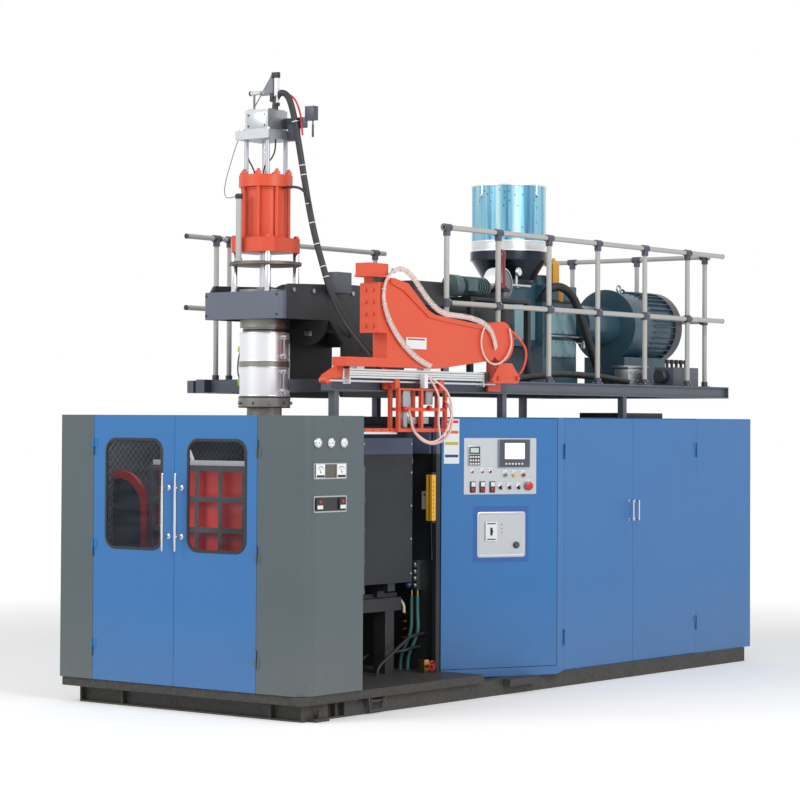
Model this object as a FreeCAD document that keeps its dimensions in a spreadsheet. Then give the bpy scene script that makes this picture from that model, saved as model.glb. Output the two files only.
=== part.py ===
import FreeCAD, Part
import math
import os
import re
import Sketcher
from FreeCAD import Placement, Rotation, Vector

# Blow moulding machine, in millimetres. Z is up, Y runs from the front doors to the rear cabinets,
# and X points to the operator's side. The origin is the centre of the four anchor holes, at floor level.
# Stations named "depth" or "y" are measured backwards from the front face of the guard.

doc = FreeCAD.newDocument("BlowMouldingMachine")
sheet = doc.addObject("Spreadsheet::Sheet", "Sizes")
aliases = []
nodes = []

ALONG_X = Rotation(Vector(0, 1, 0), 90)
ALONG_Y = Rotation(Vector(1, 0, 0), -90)
ALONG_Z = Rotation()
SKETCH_START = 100
SKETCH_TURN = 0.3


def sizes(group, **values):
    """Write the named sizes of one group into the sheet."""
    for word, value in values.items():
        alias = f"{group}_{word}"
        aliases.append(alias)
        row = len(aliases)
        sheet.set(f"A{row}", alias)
        sheet.set(f"B{row}", str(value))
        sheet.setAlias(f"B{row}", alias)


def linked(text):
    """Turn every size's name in an expression into a reference to the sheet."""
    return re.sub(r"\b[a-z]+_\w+", lambda match: "Sizes." + match.group(), str(text))


def back(text):
    """A station measured backwards from the front face of the guard."""
    return f"guard_front + {text}"


def between(middle, width):
    return (f"{middle} - ({width}) / 2", f"{middle} + ({width}) / 2")


def bind(shape, **expressions):
    for name, text in expressions.items():
        shape.setExpression(name, linked(text))
    return shape


def put(shape, at, turned=ALONG_Z):
    """Place a shape at a point whose coordinates are expressions."""
    shape.Placement = Placement(Vector(), turned)
    for axis, text in zip("xyz", at):
        shape.setExpression(f"Placement.Base.{axis}", linked(text))
    return shape


def block(name, x, y, z):
    """A box between two expressions on each axis."""
    shape = doc.addObject("Part::Box", name)
    bind(shape, Length=f"({x[1]}) - ({x[0]})", Width=f"({y[1]}) - ({y[0]})", Height=f"({z[1]}) - ({z[0]})")
    return put(shape, (x[0], y[0], z[0]))


def rod(name, radius, length, at, turned=ALONG_Z):
    """A round bar that starts at a point and runs along the turned Z axis."""
    shape = doc.addObject("Part::Cylinder", name)
    bind(shape, Radius=radius, Height=length)
    return put(shape, at, turned)


def cone(name, low_radius, high_radius, length, at, turned=ALONG_Z):
    shape = doc.addObject("Part::Cone", name)
    bind(shape, Radius1=low_radius, Radius2=high_radius, Height=length)
    return put(shape, at, turned)


def hexagon(name, radius, length, at, turned=ALONG_Z):
    """A hexagon head or nut."""
    shape = doc.addObject("Part::Prism", name)
    shape.Polygon = 6
    bind(shape, Circumradius=radius, Height=length)
    return put(shape, at, turned)


def fused(name, parts):
    if len(parts) == 1:
        return parts[0]
    shape = doc.addObject("Part::MultiFuse", name)
    shape.Shapes = parts
    shape.Refine = True
    return shape


def cut(name, base, tools):
    shape = doc.addObject("Part::Cut", name)
    shape.Base = base
    shape.Tool = fused(name + "_tools", tools)
    shape.Refine = True
    return shape


def group(name, parts):
    """Several separate solids that are kept under one name."""
    shape = doc.addObject("Part::Compound", name)
    shape.Links = parts
    return shape


def pipe(name, radius, wall, length, at, turned=ALONG_Z):
    """A round tube with open ends."""
    outside = rod(name + "_outside", radius, length, at, turned)
    bore = rod(name + "_bore", f"({radius}) - ({wall})", length, at, turned)
    return cut(name, outside, [bore])


def shell(name, x, y, z, wall, openings=()):
    """A closed sheet-metal box, less its openings."""
    inner = block(name + "_inner", *[(f"({low}) + {wall}", f"({high}) - {wall}") for low, high in (x, y, z)])
    return cut(name, block(name + "_outer", x, y, z), [inner, *openings])


def rounded_block(name, x, y, z, radius):
    """A block whose four edges along Y are round."""
    left, right = (f"({x[0]}) + {radius}", f"({x[1]}) - {radius}")
    low, high = (f"({z[0]}) + {radius}", f"({z[1]}) - {radius}")
    depth = f"({y[1]}) - ({y[0]})"
    parts = [block(name + "_wide", x, y, (low, high)), block(name + "_tall", (left, right), y, z)]
    for i, (middle_x, middle_z) in enumerate([(left, low), (right, low), (left, high), (right, high)]):
        parts.append(rod(f"{name}_corner{i}", radius, depth, (middle_x, y[0], middle_z), ALONG_Y))
    return fused(name, parts)


def prism(name, plane, outline, depth, start):
    """An outline of expression pairs, padded along +X from the YZ plane or along +Z from the XY plane."""
    body = doc.addObject("PartDesign::Body", name)
    sketch = body.newObject("Sketcher::SketchObject", name + "_outline")
    support = [feature for feature in body.Origin.OriginFeatures if feature.Role == plane][0]
    sketch.AttachmentSupport = [(support, "")]
    sketch.MapMode = "FlatFace"
    count = len(outline)
    turns = [SKETCH_TURN + 2 * math.pi * i / count for i in range(count)]
    ring = [Vector(math.cos(turn), math.sin(turn), 0) * SKETCH_START for turn in turns]
    for i in range(count):
        sketch.addGeometry(Part.LineSegment(ring[i], ring[(i + 1) % count]), False)
    for i in range(count):
        sketch.addConstraint(Sketcher.Constraint("Coincident", i, 2, (i + 1) % count, 1))
    for i, place in enumerate(outline):
        for kind, start_value, text in zip(("DistanceX", "DistanceY"), ring[i], place):
            index = sketch.addConstraint(Sketcher.Constraint(kind, -1, 1, i, 1, start_value))
            sketch.setExpression(f"Constraints[{index}]", linked(text))
    pad = body.newObject("PartDesign::Pad", name + "_pad")
    pad.Profile = sketch
    bind(pad, Length=depth)
    body.Tip = pad
    body.setExpression("Placement.Base.x" if plane == "YZ_Plane" else "Placement.Base.z", linked(start))
    return body


def node(shape, label):
    shape.Label = label
    nodes.append(shape)
    return shape


# Hinges. Each has a lower knuckle with its pin on the fixed side and an upper knuckle on the door.
sizes("hinge", radius=6.5, pin=4, clearance=0.1, knuckle=55, seam=1, leaf=3, leaf_width=32)


def hinge(name, axis, low, fixed_leaf, moving_leaf):
    """The fixed and the moving part of one hinge whose vertical pin stands at the axis point."""
    upper = f"({low}) + hinge_knuckle + hinge_seam"
    fixed = fused(name + "_fixed", [
        rod(name + "_lower", "hinge_radius", "hinge_knuckle", (*axis, low)),
        rod(name + "_pin", "hinge_pin", "2 * hinge_knuckle + hinge_seam", (*axis, low)),
        block(name + "_fixed_leaf", *fixed_leaf, (low, f"({low}) + hinge_knuckle"))])
    sleeve = fused(name + "_sleeve", [
        rod(name + "_upper", "hinge_radius", "hinge_knuckle", (*axis, upper)),
        block(name + "_moving_leaf", *moving_leaf, (upper, f"{upper} + hinge_knuckle"))])
    bore = rod(name + "_bore", "hinge_pin + hinge_clearance", "hinge_knuckle", (*axis, upper))
    return fixed, cut(name + "_moving", sleeve, [bore])


# Base: two long channel rails with cross beams, a raised pan under the guard and four anchor plates.
sizes("guard", front=-2900, left=-1072, right=1072, low=169, top=1950, skin=3, fold=30, seam=3,
      corner=120, right_depth=608, left_depth=1990, rear_right=669, tube=50, hinge_left=-767, meeting=-31,
      hinge_right=682)
sizes("base", left=-951, right=1010, front=73, back=5676, width=110, height=110, web=12, recess=40,
      stiffener=12, stiffener_left=-560, stiffener_right=740, cross_front=1500, cross_middle=2900,
      cross_rear=4300, pocket_front=330, pocket_back=500, pocket_rib=409)
sizes("pan", half=1060, front=12, back=1990, top=166, plate=6, rim=40)
sizes("anchor", half_x=780, half_y=2600, hole=11, margin=60, plate=15)
sizes("foot", front=130, back=270, reach=65, plate=20, bolt=12, bolt_height=70, nut=20, nut_height=16)
sizes("step", front=2290, back=2640, reach=62, low=62)

base_x = ("base_left", "base_right")
base_y = (back("base_front"), back("base_back"))
base_z = ("0", "base_height")
base_parts = [
    block("rail_left", ("base_left", "base_left + base_width"), base_y, base_z),
    block("rail_right", ("base_right - base_width", "base_right"), base_y, base_z),
    block("beam_front", base_x, (base_y[0], f"{base_y[0]} + base_width"), base_z),
    block("beam_rear", base_x, (f"{base_y[1]} - base_width", base_y[1]), base_z)]
for place in ("front", "middle", "rear"):
    cross = back(f"base_cross_{place}")
    base_parts.append(block(f"beam_{place}_cross", base_x, (cross, f"{cross} + base_width"), base_z))
pan_x = ("-pan_half", "pan_half")
pan_y = (back("pan_front"), back("pan_back"))
base_parts.append(cut("pan", block("pan_outer", pan_x, pan_y, ("base_height", "pan_top")), [
    block("pan_inner", ("-pan_half + pan_rim", "pan_half - pan_rim"),
          (f"{pan_y[0]} + pan_rim", f"{pan_y[1]} - pan_rim"), ("base_height", "pan_top - pan_plate"))]))
base_parts.append(block("step_bracket", ("base_right", "base_right + step_reach"),
                        (back("step_front"), back("step_back")), ("step_low", "base_height")))
foot_y = (back("foot_front"), back("foot_back"))
foot_middle = ("base_right + foot_reach / 2", f"({foot_y[0]} + {foot_y[1]}) / 2")
base_parts.append(block("foot_plate", ("base_right", "base_right + foot_reach"), foot_y, ("0", "foot_plate")))
base_parts.append(rod("foot_bolt", "foot_bolt", "foot_bolt_height", (*foot_middle, "0")))
base_parts.append(hexagon("foot_nut", "foot_nut", "foot_nut_height", (*foot_middle, "foot_plate")))
for name, inner_x in (("left", "base_left + base_width"), ("right", "base_right - base_width")):
    outer_x = f"{'-' if name == 'left' else ''}(anchor_half_x - anchor_margin)"
    plate_x = (inner_x, outer_x) if name == "left" else (outer_x, inner_x)
    front_y = (f"{base_y[0]} + base_width", "-anchor_half_y + anchor_margin")
    rear_y = ("anchor_half_y - anchor_margin", f"{base_y[1]} - base_width")
    for place, plate_y in (("front", front_y), ("rear", rear_y)):
        base_parts.append(block(f"anchor_{name}_{place}", plate_x, plate_y, ("0", "anchor_plate")))

# The rails and the front beam are channels: their outer webs are set back between the flanges.
web_z = ("base_web", "base_height - base_web")
gaps_x = [("base_left + base_stiffener", "base_stiffener_left - base_stiffener / 2"),
          ("base_stiffener_left + base_stiffener / 2", "base_stiffener_right - base_stiffener / 2"),
          ("base_stiffener_right + base_stiffener / 2", "base_right - base_stiffener")]
base_cuts = []
for i, gap_x in enumerate(gaps_x):
    base_cuts.append(block(f"front_recess{i}", gap_x, (base_y[0], f"{base_y[0]} + base_recess"), web_z))
pockets = [("base_pocket_front", "base_pocket_rib"), ("base_pocket_rib + base_stiffener", "base_pocket_back")]
for i, (pocket_front, pocket_back) in enumerate(pockets):
    base_cuts.append(block(f"side_pocket{i}", ("base_right - base_recess", "base_right"),
                           (back(pocket_front), back(pocket_back)), web_z))
for i, (side_x, side_y) in enumerate([(-1, -1), (1, -1), (-1, 1), (1, 1)]):
    base_cuts.append(rod(f"anchor_hole{i}", "anchor_hole", "anchor_plate",
                         (f"{side_x} * anchor_half_x", f"{side_y} * anchor_half_y", "0")))
base_solid = cut("base_solid", fused("base_steel", base_parts), base_cuts)

# Lifting point: a pin between two lugs on the right rail, with a shackle hanging from it.
sizes("lug", front=700, back=890, plate=18, reach=45, top=140, pin=10, pin_reach=30, pin_height=84)
sizes("shackle", bar=9, eye=19, clearance=0.3, low=22, gap=3)
lug_x = ("base_right", "base_right + lug_reach")
lug_front = (back("lug_front"), back("lug_front + lug_plate"))
lug_back = (back("lug_back - lug_plate"), back("lug_back"))
pin_x = "base_right + lug_pin_reach"
lugs = fused("lugs", [
    block("lug_front_plate", lug_x, lug_front, ("lug_pin_height - lug_plate", "lug_top")),
    block("lug_back_plate", lug_x, lug_back, ("lug_pin_height - lug_plate", "lug_top")),
    rod("lug_pin_bar", "lug_pin", "lug_back - lug_front", (pin_x, lug_front[0], "lug_pin_height"), ALONG_Y)])
node(fused("base_frame", [base_solid, lugs]), "base_frame")

eye_length = "2 * shackle_bar"
eye_front = f"{lug_front[1]} + shackle_gap"
eye_back = f"{lug_back[0]} - shackle_gap - {eye_length}"
leg_height = "lug_pin_height - shackle_low"
shackle_parts = []
for name, eye_y in (("front", eye_front), ("back", eye_back)):
    shackle_parts.append(rod(f"shackle_{name}_eye", "shackle_eye", eye_length,
                             (pin_x, eye_y, "lug_pin_height"), ALONG_Y))
    shackle_parts.append(rod(f"shackle_{name}_leg", "shackle_bar", leg_height,
                             (pin_x, f"{eye_y} + shackle_bar", "shackle_low")))
shackle_parts.append(rod("shackle_bottom", "shackle_bar", f"({eye_back}) - ({eye_front}) + 2 * shackle_bar",
                         (pin_x, eye_front, "shackle_low"), ALONG_Y))
shackle_bore = rod("shackle_bore", "lug_pin + shackle_clearance", "lug_back - lug_front",
                   (pin_x, lug_front[0], "lug_pin_height"), ALONG_Y)
node(cut("lifting_shackle", fused("shackle_ring", shackle_parts), [shackle_bore]), "lifting_shackle")

# Guard frame: square tubes behind the sheet panels, open at the roof for the head.
frame_y = back("guard_skin + guard_fold")
tube_x = {
    "left": ("guard_left + guard_skin", "guard_left + guard_skin + guard_tube"),
    "door_left": between("guard_hinge_left", "guard_tube"),
    "door_right": between("guard_hinge_right", "guard_tube"),
    "right": ("guard_right - guard_skin - guard_tube", "guard_right - guard_skin")}
upright_z = ("pan_top", "guard_top - guard_skin")
rail_z = ("guard_top - guard_skin - guard_tube", "guard_top - guard_skin")
front_row = (frame_y, f"{frame_y} + guard_tube")
right_row = (back("guard_right_depth - guard_tube"), back("guard_right_depth"))
left_row = (back("guard_left_depth - guard_tube"), back("guard_left_depth"))
corner_x = between("guard_right - guard_corner - guard_tube", "guard_tube")
frame_parts = [
    block("upright_left", tube_x["left"], front_row, upright_z),
    block("upright_door_left", tube_x["door_left"], front_row, upright_z),
    block("upright_door_right", tube_x["door_right"], front_row, upright_z),
    block("upright_corner", tube_x["right"], (back("guard_corner"), back("guard_corner + guard_tube")), upright_z),
    block("upright_right", tube_x["right"], right_row, upright_z),
    block("upright_rear_left", tube_x["left"], left_row, upright_z),
    block("rail_front", (tube_x["left"][0], corner_x[1]), front_row, rail_z),
    block("rail_corner", corner_x, (frame_y, back("guard_corner + guard_tube")), rail_z),
    block("rail_corner_back", (corner_x[0], tube_x["right"][1]),
          (back("guard_corner"), back("guard_corner + guard_tube")), rail_z),
    block("rail_right", tube_x["right"], (back("guard_corner"), right_row[1]), rail_z),
    block("rail_cross", (tube_x["left"][0], tube_x["right"][1]), right_row, rail_z),
    block("rail_left_side", tube_x["left"], (frame_y, left_row[1]), rail_z),
    block("rail_rear", (tube_x["left"][0], "guard_rear_right"), left_row, rail_z)]
node(fused("guard_frame", frame_parts), "guard_frame")

# Guard doors: folded sheet with a rounded window, hung on three hinges each.
sizes("window", left_low_x=-647, left_high_x=-147, right_low_x=90, right_high_x=585, low=1064, top=1784,
      radius=80, lip=12, inner_lip=8, gasket=5, clearance=0.3, grip=4, pane=5, pane_back=1)
sizes("pull", left_x=-80, right_x=34, reach=75, low=1054, top=1568, post_low=1151, post_high=1471,
      radius=11, post=8, rose=17, rose_depth=6)
sizes("doorhinge", low=330, middle=1000, high=1680, standoff=8)
guard_z = ("guard_low", "guard_top")
hinge_y = back("-doorhinge_standoff")
leaf_y = (back("-hinge_leaf"), back("0"))


def grown(pair, margin):
    return (f"({pair[0]}) - ({margin})", f"({pair[1]}) + ({margin})")


def guard_door(side, door_x, window_x, edge, sign):
    """One door leaf with its hinges, window and pull; the sign points from the hinge to the free edge."""
    window_z = ("window_low", "window_top")
    through = (back("-guard_skin"), back("guard_fold"))
    inside = block(f"door_{side}_inside", grown(door_x, "-guard_skin"),
                   (back("guard_skin"), back("guard_fold")), grown(guard_z, "-guard_skin"))
    opening = rounded_block(f"door_{side}_opening", window_x, through, window_z, "window_radius")
    leaf = cut(f"door_{side}_sheet", block(f"door_{side}_outside", door_x, (back("0"), back("guard_fold")), guard_z),
               [inside, opening])
    fixed, moving = [], [leaf]
    for height in ("low", "middle", "high"):
        toward = (f"{edge} + {sign} * guard_seam", f"{edge} + {sign} * (guard_seam + hinge_leaf_width)")
        away = (f"{edge} - {sign} * hinge_leaf_width", edge)
        if sign < 0:
            toward, away = toward[::-1], away[::-1]
        fixed_part, moving_part = hinge(f"hinge_{side}_{height}", (edge, hinge_y), f"doorhinge_{height}",
                                        (away, leaf_y), (toward, leaf_y))
        fixed.append(fixed_part)
        moving.append(moving_part)
    node(fused(f"guard_door_{side}", moving), f"guard_door_{side}")

    lip = rounded_block(f"gasket_{side}_lip", grown(window_x, "window_lip"),
                        (back("-window_gasket"), back("0")), grown(window_z, "window_lip"),
                        "(window_radius + window_lip)")
    neck = rounded_block(f"gasket_{side}_neck", grown(window_x, "-window_clearance"),
                         (back("-window_gasket"), back("guard_skin + window_gasket")),
                         grown(window_z, "-window_clearance"), "(window_radius - window_clearance)")
    hole = rounded_block(f"gasket_{side}_hole", grown(window_x, "-window_inner_lip"),
                         (back("-window_gasket"), back("guard_skin + window_gasket")),
                         grown(window_z, "-window_inner_lip"), "(window_radius - window_inner_lip)")
    pane_y = (back("-window_pane_back"), back("window_pane - window_pane_back"))
    pane_sizes = (grown(window_x, "-window_grip"), pane_y, grown(window_z, "-window_grip"),
                  "(window_radius - window_grip)")
    groove = rounded_block(f"gasket_{side}_groove", *pane_sizes)
    gasket = cut(f"gasket_{side}", fused(f"gasket_{side}_ring", [lip, neck]), [hole, groove])
    node(group(f"window_{side}", [gasket, rounded_block(f"pane_{side}", *pane_sizes)]), f"window_{side}")

    pull_parts = [rod(f"pull_{side}_bar", "pull_radius", "pull_top - pull_low",
                      (f"pull_{side}_x", back("-pull_reach"), "pull_low"))]
    for height in ("low", "high"):
        at = (f"pull_{side}_x", back("-pull_reach"), f"pull_post_{height}")
        pull_parts.append(rod(f"pull_{side}_post_{height}", "pull_post", "pull_reach", at, ALONG_Y))
        rose_at = (at[0], back("-pull_rose_depth"), at[2])
        pull_parts.append(rod(f"pull_{side}_rose_{height}", "pull_rose", "pull_rose_depth", rose_at, ALONG_Y))
    node(fused(f"door_pull_{side}", pull_parts), f"door_pull_{side}")
    return fixed


left_edge = "(guard_hinge_left - guard_seam / 2)"
right_edge = "(guard_hinge_right + guard_seam / 2)"
left_hinges = guard_door("left", ("guard_hinge_left + guard_seam / 2", "guard_meeting - guard_seam / 2"),
                         ("window_left_low_x", "window_left_high_x"), left_edge, 1)
right_hinges = guard_door("right", ("guard_meeting + guard_seam / 2", "guard_hinge_right - guard_seam / 2"),
                          ("window_right_low_x", "window_right_high_x"), right_edge, -1)

# Corner panels beside the doors: the left one has a sharp edge, the right one a large round edge.
left_x = ("guard_left", left_edge)
left_skin = "guard_left + guard_skin"
left_panel = [
    block("left_front_sheet", left_x, (back("0"), back("guard_skin")), guard_z),
    block("left_front_return", (f"{left_edge} - guard_skin", left_edge), (back("0"), back("guard_fold")), guard_z),
    block("left_side_sheet", ("guard_left", left_skin), (back("0"), back("guard_left_depth")), guard_z),
    block("left_side_return", ("guard_left", "guard_left + guard_fold"),
          (back("guard_left_depth"), back("guard_left_depth + guard_skin")), guard_z)]
node(fused("left_corner_panel", left_panel + left_hinges), "left_corner_panel")

round_x = "guard_right - guard_corner"
round_y = back("guard_corner")
quarter = rod("corner_round", "guard_corner", "guard_top - guard_low", (round_x, round_y, "guard_low"),
              Rotation(Vector(0, 0, 1), -90))
quarter.Angle = 90
corner_bore = rod("corner_inner", "guard_corner - guard_skin", "guard_top - guard_low",
                  (round_x, round_y, "guard_low"))
right_panel = [
    block("right_front_sheet", (right_edge, round_x), (back("0"), back("guard_skin")), guard_z),
    block("right_front_return", (right_edge, f"{right_edge} + guard_skin"), (back("0"), back("guard_fold")), guard_z),
    cut("corner_sheet", quarter, [corner_bore]),
    block("right_side_sheet", ("guard_right - guard_skin", "guard_right"),
          (round_y, back("guard_right_depth")), guard_z),
    block("right_side_return", ("guard_right - guard_fold", "guard_right"),
          (back("guard_right_depth"), back("guard_right_depth + guard_skin")), guard_z)]
node(fused("right_corner_panel", right_panel + right_hinges), "right_corner_panel")

# Instruments on the right side panel: three round gauges, two meters and two timers on plates.
sizes("gauge", first=133, pitch=132, height=1776, radius=31, depth=16, rim=4, face=3)
sizes("meter", plate_front=99, plate_back=426, plate=2, low=1549, top=1642, width=88, margin=12, depth=9)
sizes("timer", plate_front=101, plate_back=428, low=1336, top=1433, width=58, margin=16, depth=7)
instruments = []
for i in range(3):
    gauge_at = ("guard_right", back(f"gauge_first + {i} * gauge_pitch"), "gauge_height")
    face_at = ("guard_right + gauge_depth - gauge_face", *gauge_at[1:])
    instruments.append(cut(f"gauge{i}", rod(f"gauge{i}_case", "gauge_radius", "gauge_depth", gauge_at, ALONG_X), [
        rod(f"gauge{i}_face", "gauge_radius - gauge_rim", "gauge_face", face_at, ALONG_X)]))
for kind in ("meter", "timer"):
    plate_y = (back(f"{kind}_plate_front"), back(f"{kind}_plate_back"))
    plate_x = ("guard_right", "guard_right + meter_plate")
    plate = [block(f"{kind}_plate", plate_x, plate_y, (f"{kind}_low", f"{kind}_top"))]
    ends = {"front": (f"{plate_y[0]} + {kind}_margin", f"{plate_y[0]} + {kind}_margin + {kind}_width"),
            "back": (f"{plate_y[1]} - {kind}_margin - {kind}_width", f"{plate_y[1]} - {kind}_margin")}
    for place, case_y in ends.items():
        plate.append(block(f"{kind}_{place}", (plate_x[1], f"{plate_x[1]} + {kind}_depth"), case_y,
                           (f"{kind}_low + {kind}_margin / 2", f"{kind}_top - {kind}_margin / 2")))
    instruments.append(fused(f"{kind}_panel", plate))
node(group("side_instruments", instruments), "side_instruments")

# Clamp: two ribbed platens with their moulds close towards each other along Y. Tie bars join the front
# platen to a yoke at the back, and a cylinder on the yoke drives the rear platen through its rod.
sizes("clamp", front=420, half=655, low=744, top=1610, plate=60, rib=60, rib_width=36, rib_pitch_x=211,
      rib_columns=7, rib_first_z=762, rib_pitch_z=207.5, mould_half=380, mould_low=900, mould_top=1454,
      mould=120, opening=260, yoke_front=1500, yoke=80, yoke_half=590, axis=1177)
sizes("tie", x=528, low=866, high=1488, radius=35, fit=0.05, running=0.5, nut=58, nut_length=30)
sizes("bed", x=450, half_width=60, low=600, top=690, front=340, back=1760, rail_half=20, rail=30,
      leg_half=50, leg_front=520, leg_back=1640, shoe_half=50, shoe_skirt=20, clearance=0.3)
sizes("ram", barrel_front=1300, barrel_back=1700, barrel=130, bore=100, end=30, rod=50, fit=0.05,
      piston=40, piston_station=1640, boss=90)

RIB_COLUMNS = 7
RIB_ROWS = 5
platen_x = ("-clamp_half", "clamp_half")
platen_z = ("clamp_low", "clamp_top")
rail_top = "bed_top + bed_rail"


def shoes(name, station):
    """Two feet that hold a platen on the guide rails."""
    feet = []
    for side in (-1, 1):
        middle = f"{side} * bed_x"
        foot = block(f"{name}_shoe{side + 1}", between(middle, "2 * bed_shoe_half"), station,
                     (f"{rail_top} - bed_shoe_skirt", "clamp_low"))
        groove = block(f"{name}_groove{side + 1}", between(middle, "2 * (bed_rail_half + bed_clearance)"),
                       station, ("bed_top", f"{rail_top} + bed_clearance"))
        feet.append(cut(f"{name}_foot{side + 1}", foot, [groove]))
    return feet


def tie_holes(name, station, gap):
    length = f"({station[1]}) - ({station[0]})"
    return [rod(f"{name}_tie_hole{side}{height}", f"tie_radius + {gap}", length,
                (f"{side} * tie_x", station[0], f"tie_{height}"), ALONG_Y)
            for side in (-1, 1) for height in ("low", "high")]


def platen(name, plate_y, rib_y, hole_gap, extra=()):
    parts = [block(f"{name}_plate", platen_x, plate_y, platen_z), *extra]
    for i in range(RIB_COLUMNS):
        middle = f"({i} - (clamp_rib_columns - 1) / 2) * clamp_rib_pitch_x"
        parts.append(block(f"{name}_column{i}", between(middle, "clamp_rib_width"), rib_y, platen_z))
    for i in range(RIB_ROWS):
        middle = f"clamp_rib_first_z + {i} * clamp_rib_pitch_z"
        parts.append(block(f"{name}_row{i}", platen_x, rib_y, between(middle, "clamp_rib_width")))
    parts += shoes(name, plate_y)
    return cut(name, fused(name + "_casting", parts), tie_holes(name, plate_y, hole_gap))


rib_front = (back("clamp_front"), back("clamp_front + clamp_rib"))
plate_front = (rib_front[1], back("clamp_front + clamp_rib + clamp_plate"))
mould_front = (plate_front[1], f"{plate_front[1]} + clamp_mould")
mould_rear = (f"{mould_front[1]} + clamp_opening", f"{mould_front[1]} + clamp_opening + clamp_mould")
plate_rear = (mould_rear[1], f"{mould_rear[1]} + clamp_plate")
rib_rear = (plate_rear[1], f"{plate_rear[1]} + clamp_rib")
yoke_y = (back("clamp_yoke_front"), back("clamp_yoke_front + clamp_yoke"))
mould_x = ("-clamp_mould_half", "clamp_mould_half")
mould_z = ("clamp_mould_low", "clamp_mould_top")
node(platen("platen_front", plate_front, rib_front, "tie_fit"), "platen_front")
node(block("mould_front", mould_x, mould_front, mould_z), "mould_front")
boss = rod("platen_rear_boss", "ram_boss", "clamp_rib", ("0", plate_rear[1], "clamp_axis"), ALONG_Y)
node(platen("platen_rear", plate_rear, rib_rear, "tie_running", [boss]), "platen_rear")
node(block("mould_rear", mould_x, mould_rear, mould_z), "mould_rear")

bars = []
for side in (-1, 1):
    for height in ("low", "high"):
        name = f"tie_bar{side + 1}_{height}"
        at = (f"{side} * tie_x", f"{plate_front[0]} - tie_nut_length", f"tie_{height}")
        length = f"({yoke_y[1]}) - ({plate_front[0]}) + 2 * tie_nut_length"
        bars.append(fused(name, [
            rod(name + "_bar", "tie_radius", length, at, ALONG_Y),
            hexagon(name + "_front_nut", "tie_nut", "tie_nut_length", at, ALONG_Y),
            hexagon(name + "_back_nut", "tie_nut", "tie_nut_length", (at[0], yoke_y[1], at[2]), ALONG_Y)]))
node(group("tie_bars", bars), "tie_bars")

barrel_y = (back("ram_barrel_front"), back("ram_barrel_back"))
yoke_steel = fused("yoke_steel", [
    block("yoke_plate", ("-clamp_yoke_half", "clamp_yoke_half"), yoke_y, platen_z),
    rod("ram_barrel", "ram_barrel", "ram_barrel_back - ram_barrel_front", ("0", barrel_y[0], "clamp_axis"), ALONG_Y),
    *shoes("yoke", yoke_y)])
yoke_bores = [
    rod("ram_bore", "ram_bore", "ram_barrel_back - ram_barrel_front - 2 * ram_end",
        ("0", f"{barrel_y[0]} + ram_end", "clamp_axis"), ALONG_Y),
    rod("ram_gland", "ram_rod + ram_fit", "ram_end", ("0", barrel_y[0], "clamp_axis"), ALONG_Y)]
node(cut("clamp_yoke", yoke_steel, yoke_bores + tie_holes("yoke", yoke_y, "tie_fit")), "clamp_yoke")
piston_y = back("ram_piston_station - ram_piston")
node(fused("clamp_rod", [
    rod("ram_rod", "ram_rod", f"({piston_y}) - ({rib_rear[1]})", ("0", rib_rear[1], "clamp_axis"), ALONG_Y),
    rod("ram_piston", "ram_bore - ram_fit", "ram_piston", ("0", piston_y, "clamp_axis"), ALONG_Y)]), "clamp_rod")

bed_y = (back("bed_front"), back("bed_back"))
bed_parts = []
for side in (-1, 1):
    middle = f"{side} * bed_x"
    bed_parts.append(block(f"bed_beam{side + 1}", between(middle, "2 * bed_half_width"), bed_y, ("bed_low", "bed_top")))
    bed_parts.append(block(f"bed_rail{side + 1}", between(middle, "2 * bed_rail_half"), bed_y, ("bed_top", rail_top)))
    for place in ("front", "back"):
        bed_parts.append(block(f"bed_leg{side + 1}_{place}", between(middle, "2 * bed_leg_half"),
                               between(back(f"bed_leg_{place}"), "2 * bed_leg_half"), ("pan_top", "bed_low")))
for place in ("front", "back"):
    bed_parts.append(block(f"bed_cross_{place}", ("-bed_x", "bed_x"),
                           between(back(f"bed_leg_{place}"), "2 * bed_leg_half"), ("bed_low", "bed_top")))
node(fused("clamp_bed", bed_parts), "clamp_bed")

# Service bay beside the clamp: its back wall with a narrow door plate, a side plate and a slim post.
sizes("bay", wall=6, wall_right=635, post_front=1950, plate_left=420, plate_right=620,
      plate_top=1690, plate=12, box_top=1880, box=60, side_x=600, side=8, side_front=1180, side_back=1752,
      side_low=800, side_top=1800)
sizes("curtain", left=612, right=666, depth=45, low=1205, top=1560)
sizes("manifold", left=430, right=530, depth=60, low=730, top=940, ports=4, port=15, port_length=28,
      pitch=48, column=50, outlet=11, outlet_length=40, outlet_depth=35)
sizes("valve", left=600, right=660, station=1860, half_depth=30, height=215, top=255, spindle=6, spindle_length=55,
      wheel=38, rim=7, rim_width=12, hub=13, hub_length=18, clearance=0.1, spoke=8, cap=10, cap_length=4)
wall_y = (left_row[1], f"{left_row[1]} + bay_wall")
plate_face = f"{left_row[1]} - bay_plate"
side_z = ("bay_side_low", "bay_side_top")
side_return = (back("bay_side_back - bay_side"), back("bay_side_back"))
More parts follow.
